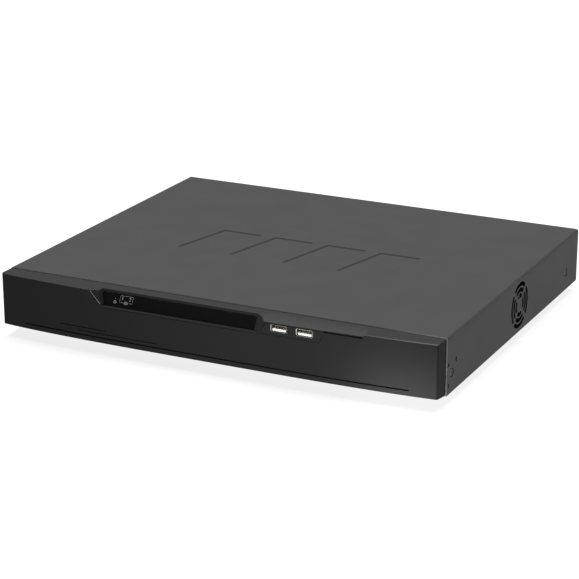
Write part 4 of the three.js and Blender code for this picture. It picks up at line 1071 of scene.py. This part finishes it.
shell = drawn_skin("d_shell", d_outline, [
    (PANEL - 1, 0.2), (PANEL + 0.2, 0.2), (PANEL + 0.5, 0.0), (nose - 0.3, 0.0),
    (nose, -0.15), (nose, -0.5), (nose - 0.4, -0.55)])
insulator = prism("insulator", d_outline(-0.5), 1, PANEL, nose - 0.35)
holes = []
hole_profile = [(0.5, nose - 3), (0.5, nose - 0.6), (0.7, nose - 0.2)]
for dz, shift in ((2.0, 0), (0.0, -1.15), (-2.0, 0)):
    for k in range(5):
        at_x = x + (k - 2) * HOLE_PITCH + shift
        holes.append(turned("hole", hole_profile, 1, (at_x, 0, z + dz), 12))
carve(insulator, holes)
posts = []
for side in (-1, 1):
    post_x = x + side * POST_ACROSS
    hexagon = POST_R * spoke(np.arange(6) * np.pi / 3) + (post_x, z)
    post = prism("post", hexagon, 1, PANEL - 1, PANEL + 4.4)
    bore_profile = [(1.2, PANEL), (1.2, PANEL + 4), (1.5, PANEL + 4.6)]
    bore = turned("bore", bore_profile, 1, (post_x, 0, z), 20)
    posts.append(soften(dress(carve(post, [bore]), screw_zinc), 0.2))
body = rear_block(low, high, 0.5, PANEL - 1.2)
video = joined("video_port", [dress(shell, nickel), dress(insulator, nylon),
                              soften(dress(body, nylon), 0.2), *posts])
settle(video, "case", "plated_shell", "video_socket")
print("video holes:", len(holes))

# %% [markdown]
# The network socket's springs are eight wires that rise towards the mouth. The two lamps beside
# the mouth are moulded in one with clear windows.

# %% Network, picture and service sockets
low, high = box_of("network_socket")
x, rim = (low[0] + high[0]) / 2, high[1]
cavity_z = high[2] - 6.7 + 0.8
shell = rear_block(low, high, 0.5, rim)
steps = np.array([(-5.9, 4.1), (5.9, 4.1), (5.9, -4.1), (3.1, -4.1),
                  (3.1, -5.7), (-3.1, -5.7), (-3.1, -4.1), (-5.9, -4.1)])
carve(shell, [prism("cavity", steps + (x, cavity_z), 1, rim - 12.5, rim + 1)])
soften(dress(shell, nickel), 0.2)
springs = []
for k in range(8):
    t = np.linspace(0, 1, 10)
    points = np.zeros((10, 4, 3))
    points[:, :, 0] = x + (k - 3.5) * 1.02 + np.array([-0.2, 0.2, 0.2, -0.2])
    points[:, :, 1] = (rim - 1.2 - 8 * t)[:, None]
    height = cavity_z + 3.9 - 2.6 * t
    points[:, :, 2] = height[:, None] + np.array([-0.12, -0.12, 0.12, 0.12])
    springs.append(dress(grid("spring", points, closed=True, caps=True), gold))
lining = prism("lining", rounded(11.6, 8.0, 0.3) + (x, cavity_z), 1, rim - 12.4, rim - 11.6)
lamps = []
for side, plastic in ((-1, terminal), (1, surface("amber_lamp", "c88a2a", 0.25))):
    lamp_line = rounded(2.6, 1.5, 0.3) + (x + side * 5.4, low[2] + 1.5)
    lamps.append(soften(dress(prism("lamp", lamp_line, 1, rim - 1, rim + 0.15), plastic), 0.1))
network = joined("network_port", [shell, dress(lining, nylon), *springs, *lamps])
settle(network, "case", "plated_shell", "network_socket")

low, high = box_of("rear_usb_socket")
x, z = (low[0] + high[0]) / 2, high[2] - USB_H / 2
service = joined("service_usb", [
    usb_shell("s", x, z, high[1], -1), usb_tongue("t", x, z, high[1], -1)])
settle(service, "case", "plated_shell", "rear_usb_socket")

low, high = box_of("hdmi_socket")
x, z, rim = (low[0] + high[0]) / 2, (low[2] + high[2]) / 2 + 0.1, high[1]


def picture_outline(grow):
    """The mouth of a digital picture socket: a rectangle with its lower corners cut off."""
    corners = np.array([(-7.2, 2.5), (7.2, 2.5), (7.2, 0.1), (5.6, -2.5), (-5.6, -2.5), (-7.2, 0.1)])
    return corners * (1 + grow / 5) + (x, z)


picture = drawn_skin("picture_port", picture_outline, [
    (low[1], 0), (rim - 0.6, 0), (rim - 0.2, 0.1), (rim, 0.1),
    (rim, -0.2), (rim - 0.4, -0.5), (rim - 9, -0.5)])
tongue = prism("tongue", rounded(10, 1.1, 0.3) + (x, z + 0.4), 1, rim - 9.5, rim - 1.2)
soften(dress(tongue, nylon), 0.1)
picture = joined("picture_port", [dress(picture, nickel), tongue])
settle(picture, "case", "plated_shell", "hdmi_socket")
print("network springs:", len(springs))

# %% [markdown]
# The terminal block pulls off its header. Every pole has a wire funnel towards the rear and a
# slotted screw on top, so all sixteen are cut and filled in one loop.

# %% Alarm terminals and ground screw
low, high = box_of("alarm_plug")
POLES, PITCH = 16, 3.81
body_front = PANEL + 0.9
body = block("body", (low[0], body_front, low[2]), (high[0], high[1], high[2]))
nose = block("nose", (low[0] + 0.7, PANEL - 6, low[2] + 1.4),
             (high[0] - 0.7, PANEL + 1.5, low[2] + 7.9))
carve(body, [nose], "UNION")
cuts, screws = [], []
for k in range(POLES):
    px = low[0] + (k + 0.5) * PITCH
    funnel = [(1.0, high[1] - 4), (1.0, high[1] - 1.2), (1.45, high[1] + 0.1), (1.45, high[1] + 1)]
    cuts.append(turned("funnel", funnel, 1, (px, 0, low[2] + 3.4), 16))
    over = (px, PANEL + 4.6, 0)
    cuts.append(turned("well", [(1.35, high[2] - 1.7), (1.35, high[2] + 1)], 2, over, 16))
    head = [(1.25, high[2] - 2.2), (1.25, high[2] - 1.1),
            (1.1, high[2] - 0.9), (0.1, high[2] - 0.85)]
    screw = turned("head", head, 2, over, 16)
    slot = block("slot", (px - 1.5, PANEL + 4.35, high[2] - 1.3), (px + 1.5, PANEL + 4.85, high[2]))
    carve(screw, [slot])
    screws.append(dress(finish_mesh(screw), screw_zinc))
carve(body, cuts)
for k in range(1, POLES):
    px = low[0] + k * PITCH
    carve(body, [block("groove", (px - 0.15, high[1] - 0.35, low[2] + 0.6),
                       (px + 0.15, high[1] + 1, high[2] - 1))])
soften(dress(body, terminal), 0.12, 1)
settle(joined("alarm_terminals", [body] + screws), "case", "terminal_green", "alarm_plug")

low, high = box_of("ground_screw")
x, z, end = (low[0] + high[0]) / 2, (low[2] + high[2]) / 2, high[1]
t = np.linspace(0, np.pi / 2, 6)
head = [(3.3 * np.cos(a), end - 1.3 + 1.3 * np.sin(a)) for a in t][:-1] + [(0.2, end)]
profile = [(1.6, low[1]), (1.6, PANEL + 0.2), (3.6, PANEL + 0.2),
           (3.6, PANEL + 0.6), (3.3, PANEL + 0.7), *head]
ground = turned("ground_terminal", profile, 1, (x, 0, z), 36)
carve(ground, cross_recess((x, 0, z), 1, end, -1))
settle(dress(finish_mesh(ground), screw_zinc), "case", "screw_steel", "ground_screw")
print("terminal poles:", POLES)

# %% [markdown]
# The rocker is a shallow V: whichever half is down is on or off. Its section is a closed path in
# depth and height, carried across; a bar and a ring say which half is which.

# %% Mains inlet and rocker
low, high = box_of("power_rocker")
x, half_w = (low[0] + high[0]) / 2, (high[0] - low[0]) / 2
pivot = np.array([PANEL - 0.6, (low[2] + high[2]) / 2])
TILT_DEGREES, ROCKER_HALF, ROCKER_FACE, ROCKER_RISE = 7, 8, 2.35, 1.05
tilt = -math.radians(TILT_DEGREES)


def tipped(a, b):
    """A point of the rocker's own section, turned by its resting tilt about the pivot."""
    return (pivot[0] + a * np.cos(tilt) - b * np.sin(tilt),
            pivot[1] + a * np.sin(tilt) + b * np.cos(tilt))


def rocker_face(b):
    """How far the shallow V of the rocker's face stands out at a height b."""
    return ROCKER_FACE + ROCKER_RISE * (np.abs(b) / ROCKER_HALF) ** 1.6


top_face = [(rocker_face(v), v) for v in np.linspace(-ROCKER_HALF, ROCKER_HALF, 25)]
foot_line = [(-1, 8), (-4.4, 5), (-4.4, -5), (-1, -8)]
section = np.array([tipped(a, v) for a, v in top_face + foot_line])
rocker = prism("rocker_cap", section, 0, x - half_w, x + half_w)
soften(dress(rocker, rocker_plastic), 0.35, 3, 50)


def rocker_mark(points):
    """A ribbon of ink just above the rocker's face, along (x, height) points."""
    rows = two_edges(points, -0.4)
    y, z = tipped(rocker_face(rows[..., 1]) + 0.14, rows[..., 1])
    return dress(grid("mark", np.stack((x + rows[..., 0], y, z), -1)), ink)


rocker = joined("rocker_cap", [
    rocker, rocker_mark(straight((0, 3.4), (0, 6.2), 9)),
    rocker_mark(ring_path(0, -4.8, 1.4, 0, 360))])
settle(rocker, "rocker", "black_nylon", "power_rocker")

low, high = box_of("mains_inlet")
x, z, mouth = (low[0] + high[0]) / 2, (low[2] + high[2]) / 2, high[1]
flange_line = rounded(high[0] - low[0], high[2] - low[2], 2.5) + (x, z)
flange = prism("flange", flange_line, 1, PANEL + 0.1, mouth)
body = prism("body", rounded(27.2, 20.2, 1.5) + (x, z), 1, PANEL - 20, PANEL + 1)
carve(flange, [body], "UNION")
shape = np.array([(-12.1, -8.2), (12.1, -8.2), (12.1, 3.7), (7.6, 8.2), (-7.6, 8.2), (-12.1, 3.7)])
carve(flange, [prism("cavity", shape + (x, z), 1, mouth - 17, mouth + 1)])
soften(dress(flange, nylon), 0.5, 3, 50)
pins = []
for dx, dz in ((-7, -2), (7, -2), (0, 2)):
    pin = prism("pin", rounded(2, 4, 0.3) + (x + dx, z + dz), 1, mouth - 17.4, mouth - 5)
    tab = prism("tab", rounded(0.8, 4.8, 0.2) + (x + dx, z + dz), 1, low[1], PANEL - 19.5)
    pins += [soften(dress(pin, nickel), 0.4, 3), dress(tab, nickel)]
settle(joined("inlet_shroud", [flange] + pins), "case", "black_nylon", "mains_inlet")
print("rocker tilt:", TILT_DEGREES, "degrees")

# %% [markdown]
# The floor is a white light table just below the feet, so that it keeps only a faint shadow. It
# belongs to the picture and not to the object.

# %% Floor
floor_z = -ORIGIN[2] / MM
FLOOR_WIDE = 60000
floor = prism("floor", rounded(FLOOR_WIDE, FLOOR_WIDE, 10), 2, floor_z - 12, floor_z - 0.05)
dress(floor, surface("pale_floor", "808080", 0.9,
                     Emission_Color=(1, 1, 1, 1), Emission_Strength=0.81))
